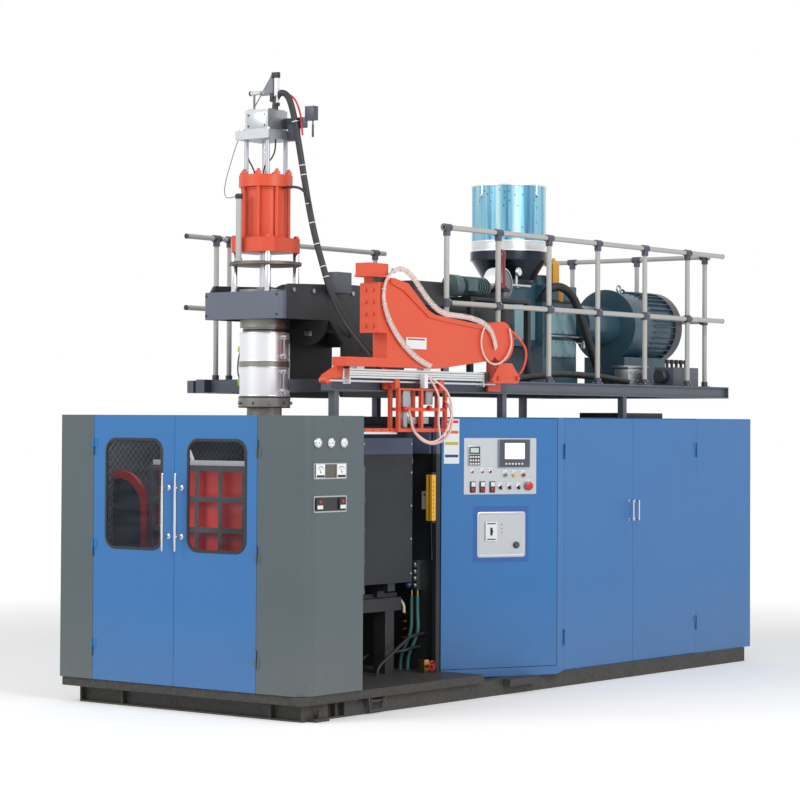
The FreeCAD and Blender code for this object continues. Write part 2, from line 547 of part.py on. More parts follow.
bay_parts = [
    block("bay_wall", ("guard_left + guard_fold", "bay_wall_right"), wall_y, ("pan_top", "guard_top")),
    block("bay_post", ("bay_wall_right", "guard_rear_right"), (back("bay_post_front"), wall_y[1]),
          ("pan_top", rail_z[0])),
    block("bay_door_plate", ("bay_plate_left", "bay_plate_right"), (plate_face, left_row[1]),
          ("pan_top", "bay_plate_top")),
    block("bay_box", ("bay_plate_left", "bay_plate_right"), (f"{left_row[1]} - bay_box", left_row[1]),
          ("bay_plate_top", "bay_box_top")),
    block("bay_side_plate", ("bay_side_x", "bay_side_x + bay_side"), (back("bay_side_front"), side_return[1]),
          side_z),
    block("bay_side_return", ("bay_plate_left - bay_side", "bay_side_x"), side_return, side_z),
    block("bay_side_inner", ("bay_plate_left - bay_side", "bay_plate_left"), (side_return[0], left_row[1]), side_z)]
node(fused("bay_panels", bay_parts), "bay_panels")

curtain_y = (back("bay_post_front - curtain_depth"), back("bay_post_front"))
fittings = [block("curtain", ("curtain_left", "curtain_right"), curtain_y, ("curtain_low", "curtain_top"))]
manifold_y = f"{plate_face} - manifold_depth"
manifold_parts = [block("manifold_block", ("manifold_left", "manifold_right"), (manifold_y, plate_face),
                        ("manifold_low", "manifold_top"))]
manifold_middle = "(manifold_left + manifold_right) / 2"
for side in (-1, 1):
    port_x = f"{manifold_middle} + {side} * manifold_column / 2"
    for i in range(4):
        port_z = f"(manifold_low + manifold_top) / 2 + ({i} - (manifold_ports - 1) / 2) * manifold_pitch"
        manifold_parts.append(rod(f"port{side + 1}_{i}", "manifold_port", "manifold_port_length",
                                  (port_x, f"{manifold_y} - manifold_port_length", port_z), ALONG_Y))
    manifold_parts.append(rod(f"outlet{side + 1}", "manifold_outlet", "manifold_outlet_length",
                              (port_x, f"{manifold_y} + manifold_outlet_depth",
                               "manifold_low - manifold_outlet_length")))
fittings.append(fused("manifold", manifold_parts))
valve_at = ("valve_right", back("valve_station"), "valve_height")
fittings.append(fused("valve_body", [
    block("valve_block", ("valve_left", "valve_right"), between(back("valve_station"), "2 * valve_half_depth"),
          ("pan_top", "valve_top")),
    rod("valve_spindle", "valve_spindle", "valve_spindle_length", valve_at, ALONG_X)]))
node(group("bay_fittings", fittings), "bay_fittings")

wheel_x = "valve_right + valve_spindle_length - valve_hub_length"
wheel_at = (wheel_x, *valve_at[1:])
rim = cut("wheel_rim", rod("wheel_outer", "valve_wheel", "valve_rim_width", wheel_at, ALONG_X), [
    rod("wheel_inner", "valve_wheel - valve_rim", "valve_rim_width", wheel_at, ALONG_X)])
wheel_reach = "2 * valve_wheel - valve_rim"
spoke_x = (wheel_x, f"{wheel_x} + valve_spoke")
wheel = fused("wheel_steel", [
    rim, rod("wheel_hub", "valve_hub", "valve_hub_length", wheel_at, ALONG_X),
    block("wheel_spoke_flat", spoke_x, between(wheel_at[1], wheel_reach), between(wheel_at[2], "valve_spoke")),
    block("wheel_spoke_high", spoke_x, between(wheel_at[1], "valve_spoke"), between(wheel_at[2], wheel_reach))])
node(cut("valve_handwheel", wheel, [
    rod("wheel_bore", "valve_spindle + valve_clearance", "valve_hub_length", wheel_at, ALONG_X)]), "valve_handwheel")

# Control cabinet, drawn in its own frame: x runs along its face and y runs inwards from the face.
# It is then turned and set beside the service bay, and everything on its door is placed with it.
sizes("console", station=2011, turn=63.2, width=936, depth=350, plinth=169, top=1949, wall=3, seam=4, door=25,
      rim=30, return_x=149, return_y=180, pivot=8, pivot_radius=4, pivot_clearance=0.1, pivot_length=20)
console_x = ("0", "console_width")
console_z = ("base_height", "console_top")
mouth_z = ("console_plinth", "console_top - console_wall")
door_x = ("0", "console_width - console_seam")
door_z = (f"{mouth_z[0]} + console_seam", f"{mouth_z[1]} - console_seam")


def seat(shape):
    """Turn a piece drawn in the cabinet's own frame and set it in its place."""
    shape.Placement = Placement(Vector(), Rotation(Vector(0, 0, 1), 1))
    bind(shape, **{"Placement.Rotation.Angle": "console_turn", "Placement.Base.x": "guard_rear_right",
                   "Placement.Base.y": back("console_station")})
    return shape


def face_rod(name, radius, x, z, near, far):
    """A round piece on the face, from one distance in front of it to another."""
    return rod(name, radius, f"({far}) - ({near})", (x, f"-({far})", z), ALONG_Y)


def face_block(name, x, z, near, far):
    return block(name, x, (f"-({far})", f"-({near})"), z)


cabinet_box = shell("cabinet_box", console_x, ("0", "console_depth"), console_z, "console_wall", [
    block("cabinet_mouth", console_x, ("0", "console_rim"), mouth_z)])
sill = block("cabinet_sill", console_x, ("0", "console_rim"), ("console_plinth - console_wall", "console_plinth"))
strip = prism("cabinet_return", "XY_Plane", [
    ("console_width", "0"), ("console_width + console_return_x", "console_return_y"),
    ("console_width", "console_return_y")], "console_top - base_height", "base_height")
pivot_at = ("console_width - console_seam - console_pivot", "console_pivot")
pivots = [rod(f"pivot_{place}", "console_pivot_radius", "console_pivot_length", (*pivot_at, low))
          for place, low in (("low", mouth_z[0]), ("high", f"{mouth_z[1]} - console_pivot_length"))]
node(seat(fused("control_cabinet", [cabinet_box, sill, strip, *pivots])), "control_cabinet")
door_outer = block("console_door_outer", door_x, ("0", "console_door"), door_z)
door_inner = block("console_door_inner", grown(door_x, "-console_wall"), ("console_wall", "console_door"),
                   grown(door_z, "-console_wall"))
bushes = [rod(f"bush_{place}", "2 * console_pivot_radius", "console_pivot_length - console_seam", (*pivot_at, low))
          for place, low in (("low", door_z[0]), ("high", f"{door_z[1]} - console_pivot_length + console_seam"))]
pivot_bore = rod("pivot_bore", "console_pivot_radius + console_pivot_clearance", f"({door_z[1]}) - ({door_z[0]})",
                 (*pivot_at, door_z[0]))
door_sheet = cut("console_door_sheet", door_outer, [door_inner])
node(seat(cut("control_door", fused("console_door_steel", [door_sheet, *bushes]), [pivot_bore])), "control_door")

# Control plate with its touch panel, temperature controller, lamps, push buttons and selectors.
sizes("panel", left=176, right=758, low=1402, top=1801, plate=2)
sizes("screen", left=448, right=704, low=1588, top=1795, depth=14, view_left=497, view_right=659,
      view_low=1652, view_top=1766, recess=3)
sizes("controller", left=208, right=305, low=1603, top=1745, depth=12)
sizes("lamp", radius=12, depth=14, first=241, second=321, third=385, height=1561)
sizes("rocker", first=246, second=322, third=402, height=1454, half_width=21, half_height=40, depth=16)
sizes("button", green_x=506, yellow_x=579, red_x=652, height=1538, collar=18, collar_depth=8, cap=13,
      cap_front=17, cap_back=5.2, clearance=0.1, travel=3)
sizes("selector", first=466, second=539, third=612, height=1450, collar=18, collar_depth=6, spindle=4,
      clearance=0.1, disc=15, disc_depth=7, grip=8, grip_half=15, grip_depth=14)
sizes("stop", x=693, height=1459, collar=22, collar_depth=10, stem=12, clearance=0.1, head=30,
      head_depth=13, gap=6, tail=4.5)
sizes("breaker", frame_left=283, frame_right=671, frame_low=953, frame_top=1278, frame=5, left=345, right=438,
      low=1070, top=1207, depth=16, slot_half=9, slot_half_height=28, pin=4, pin_half=15, pin_depth=9,
      clearance=0.1, lever_half=5, lever_half_height=8, lever_reach=30, knob_x=597, knob_z=1040, knob=25,
      knob_depth=24)
panel_parts = [
    face_block("panel_plate", ("panel_left", "panel_right"), ("panel_low", "panel_top"), "0", "panel_plate"),
    cut("touch_panel", face_block("touch_bezel", ("screen_left", "screen_right"), ("screen_low", "screen_top"),
                                  "panel_plate", "screen_depth"), [
        face_block("touch_view", ("screen_view_left", "screen_view_right"), ("screen_view_low", "screen_view_top"),
                   "screen_depth - screen_recess", "screen_depth")]),
    face_block("controller", ("controller_left", "controller_right"), ("controller_low", "controller_top"),
               "panel_plate", "controller_depth")]
for word in ("first", "second", "third"):
    panel_parts.append(face_rod(f"lamp_{word}", "lamp_radius", f"lamp_{word}", "lamp_height", "panel_plate", "lamp_depth"))
    panel_parts.append(face_block(f"rocker_{word}", between(f"rocker_{word}", "2 * rocker_half_width"),
                                  between("rocker_height", "2 * rocker_half_height"), "panel_plate", "rocker_depth"))
    collar_front = "panel_plate + selector_collar_depth"
    panel_parts.append(cut(f"selector_collar_{word}", face_rod(
        f"selector_boss_{word}", "selector_collar", f"selector_{word}", "selector_height", "panel_plate", collar_front), [
        face_rod(f"selector_hole_{word}", "selector_spindle + selector_clearance", f"selector_{word}",
                 "selector_height", "panel_plate", collar_front)]))
for colour in ("green", "yellow", "red"):
    at = (f"button_{colour}_x", "button_height")
    panel_parts.append(cut(f"collar_{colour}", face_rod(
        f"boss_{colour}", "button_collar", *at, "panel_plate", "panel_plate + button_collar_depth"), [
        face_rod(f"hole_{colour}", "button_cap + button_clearance", *at,
                 "panel_plate", "panel_plate + button_collar_depth")]))
stop_at = ("stop_x", "stop_height")
stop_front = "panel_plate + stop_collar_depth"
panel_parts.append(cut("stop_collar", face_rod("stop_boss", "stop_collar", *stop_at, "panel_plate", stop_front), [
    face_rod("stop_hole", "stop_stem + stop_clearance", *stop_at, "panel_plate", stop_front)]))
breaker_middle = "(breaker_low + breaker_top) / 2"
breaker_centre = "(breaker_left + breaker_right) / 2"
breaker_steel = fused("breaker_steel", [
    face_block("breaker_frame", ("breaker_frame_left", "breaker_frame_right"),
               ("breaker_frame_low", "breaker_frame_top"), "0", "breaker_frame"),
    face_block("breaker_body", ("breaker_left", "breaker_right"), ("breaker_low", "breaker_top"),
               "0", "breaker_depth"),
    face_rod("breaker_knob", "breaker_knob", "breaker_knob_x", "breaker_knob_z", "0", "breaker_knob_depth")])
breaker_holes = [
    face_block("breaker_slot", between(breaker_centre, "2 * breaker_slot_half"),
               between(breaker_middle, "2 * breaker_slot_half_height"), "0", "breaker_depth"),
    rod("breaker_pin_hole", "breaker_pin + breaker_clearance", "2 * breaker_pin_half",
        (f"{breaker_centre} - breaker_pin_half", "-breaker_pin_depth", breaker_middle), ALONG_X)]
node(seat(group("control_plate", [fused("panel_steel", panel_parts),
                                  cut("breaker", breaker_steel, breaker_holes)])), "control_plate")
node(seat(fused("breaker_lever", [
    rod("breaker_pin", "breaker_pin", "2 * breaker_pin_half",
        (f"{breaker_centre} - breaker_pin_half", "-breaker_pin_depth", breaker_middle), ALONG_X),
    face_block("breaker_arm", between(breaker_centre, "2 * breaker_lever_half"),
               between(breaker_middle, "2 * breaker_lever_half_height"),
               "breaker_pin_depth", "breaker_lever_reach")])), "breaker_lever")
for colour in ("green", "yellow", "red"):
    node(seat(group(f"button_{colour}", [face_rod(f"cap_{colour}", "button_cap", f"button_{colour}_x",
                                                  "button_height", "button_cap_back", "button_cap_front")])),
         f"button_{colour}")
for i, word in enumerate(("first", "second", "third"), start=1):
    at = (f"selector_{word}", "selector_height")
    disc_back = "panel_plate + selector_collar_depth"
    disc_front = f"{disc_back} + selector_disc_depth"
    node(seat(fused(f"selector_{i}", [
        face_rod(f"spindle_{i}", "selector_spindle", *at, "panel_plate", disc_back),
        face_rod(f"disc_{i}", "selector_disc", *at, disc_back, disc_front),
        face_block(f"grip_{i}", between(at[0], "selector_grip"), between(at[1], "2 * selector_grip_half"),
                   disc_front, f"{disc_front} + selector_grip_depth")])), f"selector_{i}")
head_back = f"{stop_front} + stop_gap"
node(seat(fused("estop_button", [
    face_rod("stop_stem", "stop_stem", *stop_at, f"{stop_front} - stop_tail", head_back),
    face_rod("stop_head", "stop_head", *stop_at, head_back, f"{head_back} + stop_head_depth")])), "estop_button")

# Rear cabinets: one sheet-metal enclosure on the base, with two hinged doors on the operator's side.
sizes("rear", right=997, front=3060, back=5791, split=4008, hinge_front=3073.5, hinge_rear=4937.5, wall=3,
      door=25, gap=3, standoff=8, hinge_low=297, hinge_high=1648, fixed_leaf=12, post=60, tray_front=4120,
      tray_back=4750, tray_left=440, tray_right=800, tray_top=1990)
sizes("handle", front=3957, rear=4035, low=1180, top=1330, reach=38, radius=6, post=5)
rear_x = ("base_left", "rear_right")
rear_y = (back("rear_front"), back("rear_back"))
rear_z = ("base_height", "guard_top")
door_plane = ("rear_right - rear_door", "rear_right")
mouth = block("rear_mouth", ("rear_right - rear_door - rear_gap", "rear_right"),
              (back("rear_hinge_front"), back("rear_hinge_rear")), grown(rear_z, "-rear_wall"))
rear_parts = [shell("rear_box", rear_x, rear_y, rear_z, "rear_wall", [mouth])]
for i, station in enumerate((back("rear_split"), f"{back('rear_hinge_rear')} + rear_post")):
    rear_parts.append(block(f"rear_post{i}", ("rear_right - rear_door - rear_gap - rear_post",
                                              "rear_right - rear_door - rear_gap"),
                            between(station, "rear_post"), grown(rear_z, "-rear_wall")))
rear_parts.append(block("rear_tray", ("rear_tray_left", "rear_tray_right"),
                        (back("rear_tray_front"), back("rear_tray_back")), ("guard_top", "rear_tray_top")))
rear_parts.append(block("rear_left_panel", ("base_left", "base_left + rear_wall"), (wall_y[1], rear_y[0]), rear_z))
leaf_x = ("rear_right", "rear_right + hinge_leaf")
rear_axis_x = "rear_right + rear_standoff"
rear_doors = {
    "front": (back("rear_hinge_front"), back("rear_split"), 1),
    "rear": (back("rear_hinge_rear"), back("rear_split"), -1)}
rear_door_nodes = []
for name, (edge, split, sign) in rear_doors.items():
    near = f"{edge} + {sign} * rear_gap / 2"
    far = f"{split} - {sign} * rear_gap / 2"
    door_y = (near, far) if sign > 0 else (far, near)
    sheet_z = grown(rear_z, "-(rear_wall + rear_gap)")
    sheet_part = cut(f"rear_{name}_sheet", block(f"rear_{name}_outer", door_plane, door_y, sheet_z), [
        block(f"rear_{name}_inner", ("rear_right - rear_door", "rear_right - rear_wall"),
              grown(door_y, "-rear_wall"), grown(sheet_z, "-rear_wall"))])
    moving = [sheet_part]
    for height in ("low", "high"):
        fixed_width = "rear_fixed_leaf" if name == "front" else "hinge_leaf_width"
        away = (f"{edge} - {sign} * {fixed_width}", edge)
        toward = (near, f"{near} + {sign} * hinge_leaf_width")
        if sign < 0:
            away, toward = away[::-1], toward[::-1]
        fixed_part, moving_part = hinge(f"rear_hinge_{name}_{height}", (rear_axis_x, edge), f"rear_hinge_{height}",
                                        (leaf_x, away), (leaf_x, toward))
        rear_parts.append(fixed_part)
        moving.append(moving_part)
    grip = [rod(f"handle_{name}_bar", "handle_radius", "handle_top - handle_low",
                ("rear_right + handle_reach", back(f"handle_{name}"), "handle_low"))]
    for height in ("low", "top"):
        inset = "+ handle_radius" if height == "low" else "- handle_radius"
        grip.append(rod(f"handle_{name}_{height}", "handle_post", "handle_reach",
                        ("rear_right", back(f"handle_{name}"), f"handle_{height} {inset}"), ALONG_X))
    rear_door_nodes.append((fused(f"rear_door_{name}", moving + grip), f"rear_door_{name}"))
node(fused("rear_cabinet", rear_parts), "rear_cabinet")
for shape, label in rear_door_nodes:
    node(shape, label)

# Platform: two long channels carry the extruder over the cabinets, with an outrigger on the left.
sizes("platform", outer=880, width=80, front=500, left_front=1150, back=5640, low=2115, top=2207, deck=6,
      deck_front=2080,
      flange=10, recess=25, cross_width=80, cross_head=1220, cross_rear=2000, cross_middle=3000,
      cross_gear=4050, cross_motor=4900, cross_end=5560, post=50, post_front=583, post_bay=1965, post_console=2500,
      post_first=3200, post_second=4100, post_third=5200, outrigger=1250, outrigger_half=30,
      outrigger_front=1500, outrigger_back=3900, arm_front=1560, arm_back=3800)
sizes("pump", left=600, right=780, front=4950, back=5330, height=150)
platform_z = ("platform_low", "platform_top")
feet = {
    1: [("front", rail_z[1]), ("console", "console_top"), ("second", "guard_top")],
    -1: [("bay", rail_z[1]), ("first", "guard_top"), ("third", "guard_top")]}
inner_half = "(platform_outer - platform_width)"
platform_parts = []
for side in (-1, 1):
    near, far = f"{side} * {inner_half}", f"{side} * platform_outer"
    beam_x = (near, far) if side > 0 else (far, near)
    beam_y = (back("platform_front" if side > 0 else "platform_left_front"), back("platform_back"))
    edge = f"{side} * (platform_outer - platform_recess)"
    web_x = (edge, far) if side > 0 else (far, edge)
    beam = block(f"platform_beam{side + 1}", beam_x, beam_y, platform_z)
    web = block(f"platform_web{side + 1}", web_x, grown(beam_y, "-platform_flange"),
                grown(platform_z, "-platform_flange"))
    platform_parts.append(cut(f"platform_channel{side + 1}", beam, [web]))
    middle = f"{side} * (platform_outer - platform_width / 2)"
    for place, low in feet[side]:
        platform_parts.append(block(f"platform_post{side + 1}_{place}", between(middle, "platform_post"),
                                    between(back(f"platform_post_{place}"), "platform_post"),
                                    (low, "platform_low")))
for place in ("head", "rear", "middle", "gear", "motor", "end"):
    cross = back(f"platform_cross_{place}")
    platform_parts.append(block(f"platform_cross_{place}", (f"-{inner_half}", inner_half),
                                (cross, f"{cross} + platform_cross_width"), platform_z))
platform_parts.append(block("platform_deck", (f"-{inner_half}", inner_half),
                            (back("platform_deck_front"), back("platform_back")),
                            ("platform_top - platform_deck", "platform_top")))
outrigger_x = ("-platform_outrigger - platform_outrigger_half", "-platform_outrigger + platform_outrigger_half")
platform_parts.append(block("outrigger", outrigger_x,
                            (back("platform_outrigger_front"), back("platform_outrigger_back")), platform_z))
for place in ("front", "back"):
    platform_parts.append(block(f"outrigger_arm_{place}", (outrigger_x[1], "-platform_outer"),
                                between(back(f"platform_arm_{place}"), "platform_cross_width"), platform_z))
platform_parts.append(block("pump_block", ("pump_left", "pump_right"), (back("pump_front"), back("pump_back")),
                            ("platform_top", "platform_top + pump_height")))
node(fused("platform_frame", platform_parts), "platform_frame")

# Handrails: steel tubes in clamp fittings along the near edge, the rear end and the left outrigger.
sizes("tube", radius=19, wall=3, gap=1, clearance=0.2)
sizes("fitting", radius=26, reach=38, drop=58, flange=45, flange_height=8, socket=45)
sizes("handrail", top=3267, middle=2742, elbow=1827, post_a=2448, post_b=3096, post_c=3752, post_d=4421,
      post_e=5058, near_end=5600, rear_post=5597, right_x=680, centre_x=30, left_x=-610, overhang=1280, left_front=1450,
      left_back=3830, left_post_a=1780, left_post_b=1930, left_post_c=3700)
tubes, fittings = [], []
near_x = "(platform_outer - platform_width / 2)"
far_y = back("handrail_rear_post")
left_x = "-platform_outrigger"


def rail_tube(name, length, at, turned):
    tubes.append(pipe(name, "tube_radius", "tube_wall", length, at, turned))


def before_point(x, y, turned, distance):
    """The point that lies a distance before another, along the rail that runs through it."""
    return (f"{x} - {distance}", y) if turned is ALONG_X else (x, f"{y} - {distance}")


def top_fitting(name, x, y, turned):
    """A tee that holds the top rail on a post."""
    start = before_point(x, y, turned, "fitting_reach")
    low = "handrail_top - fitting_drop"
    body = fused(name + "_body", [
        rod(name + "_across", "fitting_radius", "2 * fitting_reach", (*start, "handrail_top"), turned),
        rod(name + "_down", "fitting_radius", "fitting_drop", (x, y, low))])
    fittings.append(cut(name, body, [
        rod(name + "_rail", "tube_radius + tube_clearance", "2 * fitting_reach", (*start, "handrail_top"), turned),
        rod(name + "_post", "tube_radius + tube_clearance", "fitting_drop - tube_radius", (x, y, low))]))


def middle_fitting(name, x, y, turned, before, after):
    """A cross on a post that takes the middle rail on one side or on both."""
    length = f"fitting_reach * ({before} + {after})"
    start = before_point(x, y, turned, f"{before} * fitting_reach")
    low = "handrail_middle - fitting_drop / 2"
    body = fused(name + "_body", [
        rod(name + "_across", "fitting_radius", length, (*start, "handrail_middle"), turned),
        rod(name + "_upright", "fitting_radius", "fitting_drop", (x, y, low))])
    fittings.append(cut(name, body, [
        rod(name + "_rail", "tube_radius + tube_clearance", length, (*start, "handrail_middle"), turned),
        rod(name + "_post", "tube_radius + tube_clearance", "fitting_drop", (x, y, low))]))


def rail_post(name, x, y, turned, before, after):
    rail_tube(name + "_tube", "handrail_top - tube_radius - tube_gap - platform_top", (x, y, "platform_top"), ALONG_Z)
    top_fitting(name + "_tee", x, y, turned)
    middle_fitting(name + "_cross", x, y, turned, before, after)
    flange = fused(name + "_flange", [
        rod(name + "_flange_plate", "fitting_flange", "fitting_flange_height", (x, y, "platform_top")),
        rod(name + "_flange_socket", "fitting_radius", "fitting_socket", (x, y, "platform_top"))])
    fittings.append(cut(name + "_foot", flange, [
        rod(name + "_flange_bore", "tube_radius + tube_clearance", "fitting_socket", (x, y, "platform_top"))]))


def middle_rail(name, low, high, other, turned):
    """A middle rail between two posts, whose stations are the low and the high end."""
    start = f"{low} + tube_radius + tube_gap"
    length = f"({high}) - ({low}) - 2 * (tube_radius + tube_gap)"
    at = (start, other, "handrail_middle") if turned is ALONG_X else (other, start, "handrail_middle")
    rail_tube(name, length, at, turned)


near_stations = [back(f"handrail_{word}") for word in ("elbow", "post_a", "post_b", "post_c", "post_d", "post_e")]
for i, station in enumerate(near_stations):
    rail_post(f"near{i}", near_x, station, ALONG_Y, min(i, 1), 1)
for i in range(len(near_stations) - 1):
    middle_rail(f"near_middle{i}", near_stations[i], near_stations[i + 1], near_x, ALONG_Y)
rail_tube("near_middle_end", "handrail_near_end - handrail_post_e - tube_radius - tube_gap",
          (near_x, f"{near_stations[-1]} + tube_radius + tube_gap", "handrail_middle"), ALONG_Y)
rail_tube("near_top", "handrail_near_end - handrail_elbow + fitting_reach",
          (near_x, f"{near_stations[0]} - fitting_reach", "handrail_top"), ALONG_Y)
rear_stations = [f"-{near_x}", "handrail_left_x", "handrail_centre_x", "handrail_right_x"]
for i, station in enumerate(rear_stations):
    rail_post(f"rear{i}", station, far_y, ALONG_X, min(i, 1), min(len(rear_stations) - 1 - i, 1))
for i, (low, high) in enumerate(zip(rear_stations, rear_stations[1:])):
    middle_rail(f"rear_middle{i}", low, high, far_y, ALONG_X)
rail_tube("rear_top", "handrail_overhang + handrail_right_x + fitting_reach",
          ("-handrail_overhang", far_y, "handrail_top"), ALONG_X)
left_stations = [back(f"handrail_left_post_{word}") for word in ("a", "b", "c")]
for i, station in enumerate(left_stations):
    rail_post(f"left{i}", left_x, station, ALONG_Y, 1, min(2 - i, 1))
for i in range(len(left_stations) - 1):
    middle_rail(f"left_middle{i}", left_stations[i], left_stations[i + 1], left_x, ALONG_Y)
rail_tube("left_middle_end", "handrail_left_post_a - handrail_left_front - tube_radius - tube_gap",
          (left_x, back("handrail_left_front"), "handrail_middle"), ALONG_Y)
rail_tube("left_top", "handrail_left_back - handrail_left_front",
          (left_x, back("handrail_left_front"), "handrail_top"), ALONG_Y)
node(group("handrail_tubes", tubes), "handrail_tubes")
node(group("rail_fittings", fittings), "rail_fittings")

# Head carrier: a thick front plate, two side plates and a bridge that the head hangs in.
sizes("head", axis=870, outlet_low=1860, outlet=120, ring_low=2003, ring=178, body_low=2080, body=160,
      band_gap_low=2283, band_gap_top=2317, band_gap=176, body_top=2517, neck_top=2550, neck=150,
      collar_top=2606, collar=170, throat=110, inlet=45, flange_low=2790, flange_top=2810, flange=185,
      socket_top=2830, socket=60, socket_low=2580, clearance=0.3)
sizes("carrier", half=348, front=620, plate=60, low=2604, top=2790, chamfer=25, side_inner=318, side=24,
      mid_top=2840, mid=720, top_front=1400, top_height=2860, back=2000, foot=2080, foot_front=1300,
      knee=2450, knee_front=1150, bridge=40, bridge_back=1075, hole_gap=1, rear=50, axis=2700)
head_at = ("0", back("head_axis"))
carrier_front = (back("carrier_front"), back("carrier_front + carrier_plate"))
front_plate = prism("carrier_plate", "XY_Plane", [
    ("-carrier_half + carrier_chamfer", carrier_front[0]), ("carrier_half - carrier_chamfer", carrier_front[0]),
    ("carrier_half", f"{carrier_front[0]} + carrier_chamfer"), ("carrier_half", carrier_front[1]),
    ("-carrier_half", carrier_front[1]), ("-carrier_half", f"{carrier_front[0]} + carrier_chamfer")],
    "carrier_top - carrier_low", "carrier_low")
side_outline = [
    (carrier_front[1], "carrier_low"), (back("carrier_knee_front"), "carrier_low"),
    (back("carrier_foot_front"), "carrier_knee"), (back("carrier_foot_front"), "carrier_foot"),
    (back("carrier_back"), "carrier_foot"), (back("carrier_back"), "carrier_top_height"),
    (back("carrier_top_front"), "carrier_top_height"), (back("carrier_mid"), "carrier_mid_top"),
    (carrier_front[1], "carrier_top")]
carrier_parts = [
    front_plate,
    prism("carrier_side_right", "YZ_Plane", side_outline, "carrier_side", "carrier_side_inner"),
    prism("carrier_side_left", "YZ_Plane", side_outline, "carrier_side", "-carrier_side_inner - carrier_side"),
    block("carrier_bridge", ("-carrier_side_inner", "carrier_side_inner"),
          (carrier_front[1], back("carrier_bridge_back")), ("carrier_top - carrier_bridge", "carrier_top")),
    block("carrier_rear", ("-carrier_side_inner", "carrier_side_inner"),
          (back("carrier_back - carrier_rear"), back("carrier_back")), ("carrier_knee", "carrier_top_height"))]
sizes("barrel", cover=160, front=1080, bore=60.3, blower_left=60, blower_right=420, blower_front=2010,
      blower_back=2390, blower_low=2750, blower_top=2920, hole_gap=3)
carrier_cuts = [
    rod("carrier_head_hole", "head_throat + carrier_hole_gap", "carrier_bridge", (*head_at, "carrier_top - carrier_bridge")),
    rod("carrier_barrel_hole", "barrel_cover + barrel_hole_gap", "carrier_rear",
        ("0", back("carrier_back - carrier_rear"), "carrier_axis"), ALONG_Y)]
node(cut("head_carrier", fused("carrier_steel", carrier_parts), carrier_cuts), "head_carrier")

# Die head: a stack of turned parts on the head's axis, with two split heater bands round its body.
stack = [
    ("outlet", "head_outlet", "head_outlet_low", "head_ring_low"),
    ("ring", "head_ring", "head_ring_low", "head_body_low"),
    ("body", "head_body", "head_body_low", "head_body_top"),
    ("band_gap", "head_band_gap", "head_band_gap_low", "head_band_gap_top"),
    ("neck", "head_neck", "head_body_top", "head_neck_top"),
    ("collar", "head_collar", "head_neck_top", "head_collar_top"),
    ("throat", "head_throat", "head_collar_top", "head_flange_low"),
    ("flange", "head_flange", "head_flange_low", "head_flange_top"),
    ("socket", "head_socket", "head_flange_top", "head_socket_top")]
head_parts = [rod(f"head_{name}", radius, f"{high} - {low}", (*head_at, low)) for name, radius, low, high in stack]
head_parts.append(rod("head_inlet", "head_inlet", "barrel_front - head_axis", (*head_at, "carrier_axis"), ALONG_Y))
sizes("shotram", rod=40, low=2760, piston_low=3320, piston=60, bore=110, fit=0.05)
head_bore = rod("head_bore", "shotram_rod + head_clearance", "head_socket_top - head_socket_low",
                (*head_at, "head_socket_low"))
node(cut("die_head", fused("head_steel", head_parts), [head_bore]), "die_head")
sizes("band", radius=172, thickness=11.7, gap=1, slit=5, lug=28, lug_half=14, lug_height=30, lug_inset=20)
bands = []
for name, low, high in (("low", "head_body_low", "head_band_gap_low"), ("high", "head_band_gap_top", "head_body_top")):
    low, high = f"{low} + band_gap", f"{high} - band_gap"
    height = f"({high}) - ({low})"
    lug_x = ("band_radius - band_thickness / 2", "band_radius + band_lug")
    parts = [pipe(f"band_{name}", "band_radius", "band_thickness", height, (*head_at, low))]
    for i, lug_low in enumerate((f"{low} + band_lug_inset", f"{high} - band_lug_inset - band_lug_height")):
        parts.append(block(f"band_lug_{name}{i}", lug_x, between(head_at[1], "2 * band_lug_half"),
                           (lug_low, f"{lug_low} + band_lug_height")))
    slit = block(f"band_slit_{name}", ("head_body", lug_x[1]), between(head_at[1], "band_slit"), (low, high))
    bands.append(cut(f"band_split_{name}", fused(f"band_steel_{name}", parts), [slit]))
node(group("heater_bands", bands), "heater_bands")

# Shot cylinder on four columns above the head, with its ram, and the gap actuator on top of it.
sizes("column", offset=150, radius=22, low=2790, top=3065, disc=250, disc_low=2976, disc_top=3000, hole=45,
      guide_x=-45, guide_back=642, guide=20, guide_top=3430)
sizes("shot", half=195, corner=60, flange_top=3162, barrel=148, barrel_top=3512, cap=185, cap_top=3594,
      bolt_circle=165, bolts=8, bolt=13, nut=22, nut_height=24, first_turn=22.5, gap_hole=18.3)
sizes("actuator", post_offset=95, post=15, post_top=3837, plate_half=150, plate_top=3899, half=103,
      top=4040, bore_top=3985)
sizes("gaprod", radius=18, low=3540, top=3965)
column_disc = cut("column_plate", rod("column_disc", "column_disc", "column_disc_top - column_disc_low",
                                      (*head_at, "column_disc_low")), [
    rod("column_hole", "column_hole", "column_disc_top - column_disc_low", (*head_at, "column_disc_low"))])
columns = [column_disc, rod("column_guide", "column_guide", "column_guide_top - column_disc_top",
                            ("column_guide_x", back("column_guide_back"), "column_disc_top"))]
posts = []
for i, (side_x, side_y) in enumerate([(-1, -1), (1, -1), (-1, 1), (1, 1)]):
    columns.append(rod(f"column{i}", "column_radius", "column_top - column_low", (
        f"{side_x} * column_offset", back(f"head_axis + {side_y} * column_offset"), "column_low")))
    posts.append(rod(f"actuator_post{i}", "actuator_post", "actuator_post_top - shot_cap_top", (
        f"{side_x} * actuator_post_offset", back(f"head_axis + {side_y} * actuator_post_offset"), "shot_cap_top")))
node(fused("shot_columns", columns), "shot_columns")

